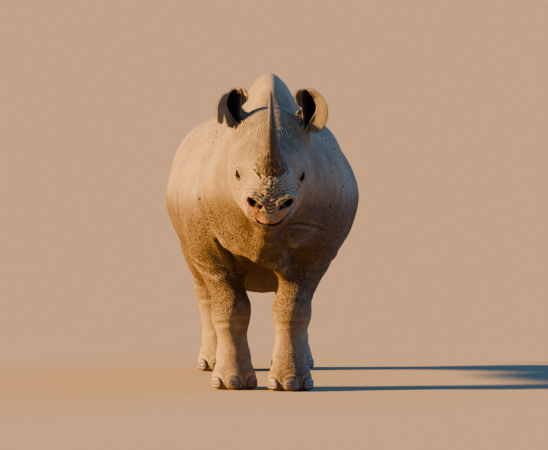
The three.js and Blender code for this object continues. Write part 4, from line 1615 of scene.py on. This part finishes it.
def globe(steps, sides):
    """Directions over a ball, and its triangles, pole to pole along Z."""
    polar = np.linspace(0, math.pi, steps + 1, dtype=np.float32)[1:-1]
    turn = np.linspace(0, 2 * math.pi, sides, endpoint=False, dtype=np.float32)
    a, b = grid_places(polar, turn)
    ways = np.stack([np.sin(a) * np.cos(b), np.sin(a) * np.sin(b), np.cos(a)])
    ways = np.concatenate([ways, column((0, 0, -1)), column((0, 0, 1))], 1)
    return ways, tube_faces(len(polar), sides)[:, ::-1]


def add_eye(node, material):
    middle, axes = EYES[node]
    ways, faces = globe(*EYE_MESH)
    radius = EYE_RADIUS + CORNEA * step_up(0.72, 0.95, ways[2])
    marks = {"off_axis": np.arccos(np.clip(ways[2], -1, 1))}
    made = new_object(node, middle + axes.T @ (ways * radius), faces, marks, material)
    place_piece(made, [node])


NAIL_HALF = (37.24, 13.72, 27.44)
NAIL_SQUARE = 0.62  # how square the plate's outline and edge are: 1 for round, 0 for square
NAIL_LIFT = 1.0  # how far a nail stays off the ground


def squared(v, power):
    """Numbers from -1 to 1, pushed outwards by a power below 1."""
    return np.sign(v) * np.abs(v) ** power


def add_nail(node, angle, material):
    """A plate with a flat face, arched above and straight below where it meets the ground."""
    (x, z, y), faces = globe(*NAIL_MESH)
    z = np.where(z < 0, squared(z, 0.45), squared(z, 0.8))
    x = squared(x, NAIL_SQUARE) * (1 - 0.16 * np.clip(z, 0, 1))
    y = squared(y, NAIL_SQUARE) * np.sqrt(1 - 0.55 * x * x)
    x, y, z = np.stack([x, y, z]) * column(NAIL_HALF)
    y += 0.7 * np.sin(z / 2.6) + 0.5 * noise(np.stack([x, y, z]), (4, 9, 40), 60)
    c, s = math.cos(angle), math.sin(angle)
    points = np.stack([c * x - s * y, s * x + c * y, z]) + node_middle(node)
    points[2] = np.maximum(points[2], NAIL_LIFT)
    made = new_object(node, points, faces[:, ::-1], {}, material)
    place_piece(made, [node])


def add_eyes_and_nails():
    eye, nail = eye_material(), nail_material()
    for node in EYES:
        add_eye(node, eye)
    for foot, _, _, _, out in LEGS:
        for toe, angle in NAIL_ANGLES.items():
            add_nail(f"nail_{foot}_{toe}", math.radians(angle * out), nail)


add_eyes_and_nails()


# ---------------------------------------------------------------- hair
TUFT_STEPS = 4
TUFT_SIDES = 3
TAIL_TUFTS = 520
LASHES = 46  # on each eye
PATCH = 0.003  # side of each tuft's patch on its map
ASIDE = (0.31, 0.2, 0.93)  # no tuft points this way


def tuft_faces():
    """The triangles of one tuft, and where their corners lie on its patch, from 0 to 1."""
    faces, corners = [], []
    end = TUFT_SIDES * TUFT_STEPS
    for step, k in product(range(TUFT_STEPS), range(TUFT_SIDES)):
        a, b = TUFT_SIDES * step + k, TUFT_SIDES * step + (k + 1) % TUFT_SIDES
        low, high = step / TUFT_STEPS, (step + 1) / TUFT_STEPS
        left, right = k / TUFT_SIDES, (k + 1) / TUFT_SIDES
        corners += [(left, low), (right, low), (right, high)]
        if step == TUFT_STEPS - 1:
            faces.append((a, b, end))
        else:
            faces += [(a, b, b + TUFT_SIDES), (a, b + TUFT_SIDES, a + TUFT_SIDES)]
            corners += [(left, low), (right, high), (left, high)]
    return np.array(faces), np.array(corners)


def add_coat(name, tufts, material):
    """Three-sided tapering tufts. Each is (root, middle, tip, radius, map place)."""
    root, middle, tip, radius, at = (np.array(values) for values in zip(*tufts))
    axis = (tip - root) / lengths((tip - root).T)[:, None]
    aside = np.cross(axis, ASIDE)
    aside = aside / lengths(aside.T)[:, None]
    other = np.cross(axis, aside)
    rows = []
    for step, k in product(range(TUFT_STEPS), range(TUFT_SIDES)):
        t, turn = step / TUFT_STEPS, 2 * math.pi * k / TUFT_SIDES
        centre = (1 - t) ** 2 * root + 2 * t * (1 - t) * middle + t * t * tip
        out = aside * math.cos(turn) + other * math.sin(turn)
        rows.append(centre + out * (radius * (1 - 0.8 * t))[:, None])
    points = np.stack([*rows, tip], 1)
    faces, corners = tuft_faces()
    firsts = np.arange(len(tufts)) * points.shape[1]
    faces = (firsts[:, None, None] + faces).reshape(-1, 3)
    made = new_object(name, points.reshape(-1, 3).T, faces, {}, material)
    layer = made.data.uv_layers.new(name="OFBake")
    layer.data.foreach_set("uv", (at[:, None] + PATCH * corners).astype(np.float32).ravel())
    place_piece(made)


def ear_tufts(rng):
    """A fringe along each ear's rim, thickest on its upper inner side."""
    tufts = []
    for node, ear in EARS.items():
        axes, root = ear_frame(ear)
        curve = EAR_OUTLINES[node].curve
        before, after = np.roll(curve, 1, 0), np.roll(curve, -1, 0)
        for (across, high), along in zip(curve, after - before):
            if high < -12:
                continue
            thick = 5 + 9 * float(step_up(20, -40, across) * step_up(120, 150, high))
            out = unit(np.array((along[1], -along[0])))
            for _ in range(int(thick * np.hypot(*along) / 12)):
                slip = along * rng.uniform(-0.5, 0.5)
                a, h = across + slip[0] - out[0] * 3, high + slip[1] - out[1] * 3
                place_at = (a, float(ear_depth(a, h)) + rng.uniform(-3, 3), h)
                start = axes.T @ np.array(place_at) + root[:, 0]
                way = axes.T @ np.array((out[0], 0.25, out[1]))
                way = unit(way + rng.normal(0, 0.3, 3))
                length = rng.uniform(7, 15)
                bend = start + way * length * 0.5 + rng.normal(0, 0.8, 3)
                at = ((a + 110) / 225, (h + 20) / 240)
                tufts.append((start, bend, start + way * length, 0.42, at))
    return tufts


def tail_tufts(rng):
    """A brush round the last fifth of the tail, flattened from side to side."""
    tufts = []
    for _ in range(TAIL_TUFTS):
        t = rng.uniform(0.80, 0.995)
        x, y, z, radius = (float(v) for v in tail_at(t))
        turn = rng.uniform(0, 2 * math.pi)
        flat = 1.0 if rng.uniform() < 0.25 else 0.45
        out = np.array((math.cos(turn) * flat, math.sin(turn), 0))
        root = np.array((x, y, z)) + out * radius * 0.9
        length = rng.uniform(38, 78)
        tip = root + out * length * 0.28 - np.array((0, 0, length * 0.85)) + rng.normal(0, 3, 3)
        bend = (root + tip) / 2 + out * 5
        tufts.append((root, bend, tip, 0.7, (turn / 6.3, (t - 0.79) * 4.5)))
    return tufts


def lash_tufts(rng):
    """Lashes along the upper lid of each eye."""
    tufts = []
    for number, (middle, axes) in enumerate(EYES.values()):
        for i in range(LASHES):
            along = -19 + 36 * i / (LASHES - 1)
            lid = SLIT[1] * math.sqrt(max(0.05, 1 - (along / SLIT[0]) ** 2)) + 3
            out = math.sqrt(max(LID_RADIUS**2 - along**2 - lid**2, 9)) - 3.5
            root = middle[:, 0] + axes.T @ np.array((along, lid, out))
            way = unit(axes[2] + 0.35 * axes[1] - 0.25 * axes[0] + rng.normal(0, 0.12, 3))
            length = rng.uniform(7, 11)
            tip = root + way * length - axes[1] * 2.5
            bend = root + way * length * 0.5
            tufts.append((root, bend, tip, 0.36, (i / 50, 0.1 + 0.4 * number)))
    return tufts


def add_hair():
    rng = np.random.default_rng(7)
    material = hair_material()
    add_coat("hair_ears", ear_tufts(rng), material)
    add_coat("hair_tail", tail_tufts(rng), material)
    add_coat("lashes", lash_tufts(rng), material)


add_hair()


# ---------------------------------------------------------------- floor, light and camera
FLOOR_SIZE = 700  # metres
FLOOR_COLOUR = (0.34, 0.270, 0.170)


def add_floor():
    bpy.ops.mesh.primitive_plane_add(size=FLOOR_SIZE)
    floor = bpy.context.object
    floor.name = "floor"
    m = Material("floor")
    floor.data.materials.append(m.finish(FLOOR_COLOUR, 0.9, {"Specular IOR Level": 0.0}))


def direction(azimuth, elevation):
    """Azimuth is in degrees from straight ahead of the animal towards its right."""
    a, e = math.radians(azimuth), math.radians(elevation)
    return Vector((-math.sin(a) * math.cos(e), -math.cos(a) * math.cos(e), math.sin(e)))


def add_facing(name, data, back):
    """A light or camera whose back is turned in a direction."""
    made = bpy.data.objects.new(name, data)
    made.rotation_mode = "QUATERNION"
    made.rotation_quaternion = back.to_track_quat("Z", "Y")
    bpy.context.scene.collection.objects.link(made)
    return made


# A low warm sun from the viewer's left, and cool soft light from the other side and from ahead.
# Each: name, azimuth, elevation, strength, colour, and how many degrees wide it is.
SUNS = [
    ("key", 88, 20, 16.5, (1.0, 0.60, 0.24), 6),
    ("fill", -100, 28, 1.9, (0.20, 0.47, 0.95), 60),
    ("front", -6, 34, 0.3, (0.45, 0.72, 1.0), 50),
]
HORIZON = (1.44, 0.85, 0.46, 1.0)  # like the lit floor, so that its far edge doesn't show
HORIZON_TOP = 0.03  # the sine of the height at which the horizon's colour starts to change
SKY = (0.17, 0.44, 1.2, 1.0)
SKY_FROM = 0.09
SKY_STRENGTH = 0.46


def add_suns():
    for name, azimuth, elevation, strength, colour, spread in SUNS:
        sun = bpy.data.lights.new(name, "SUN")
        sun.energy = strength
        sun.color = colour
        sun.angle = math.radians(spread)
        add_facing(name, sun, direction(azimuth, elevation))


def add_world():
    """Cool light from above, and the floor's own colour at the horizon."""
    world = bpy.data.worlds.new("studio")
    world.use_nodes = True
    m = Nodes(world.node_tree)
    way = m.node("ShaderNodeTexCoord").outputs["Generated"]
    parts = m.node("ShaderNodeSeparateXYZ", {"Vector": way})
    rise = m.node("ShaderNodeValToRGB", {"Fac": parts.outputs["Z"]})
    low, high = rise.color_ramp.elements
    low.position, low.color = HORIZON_TOP, HORIZON
    high.position, high.color = SKY_FROM, SKY
    sky = {"Color": rise.outputs["Color"], "Strength": SKY_STRENGTH}
    m.fill(world.node_tree.nodes["Background"], sky)
    bpy.context.scene.world = world


# The camera looks at the animal's face from 32 m away, a little above its feet.
CAMERA_PLACE = (-1.31234, -32.15968, 2.30947)
CAMERA_AZIMUTH = 2.4
CAMERA_ELEVATION = 2.7
CAMERA_LENS = 426.7
SENSOR_WIDTH = 36


def add_camera():
    camera = bpy.data.cameras.new("camera")
    camera.lens = CAMERA_LENS
    camera.sensor_width = SENSOR_WIDTH
    camera.clip_end = 1000
    made = add_facing("camera", camera, direction(CAMERA_AZIMUTH, CAMERA_ELEVATION))
    made.location = CAMERA_PLACE
    bpy.context.scene.camera = made


add_floor()
add_suns()
add_world()
add_camera()
# The photo's shadows are deeper than the plain view transform makes them.
bpy.context.scene.view_settings.look = "AgX - Medium High Contrast"
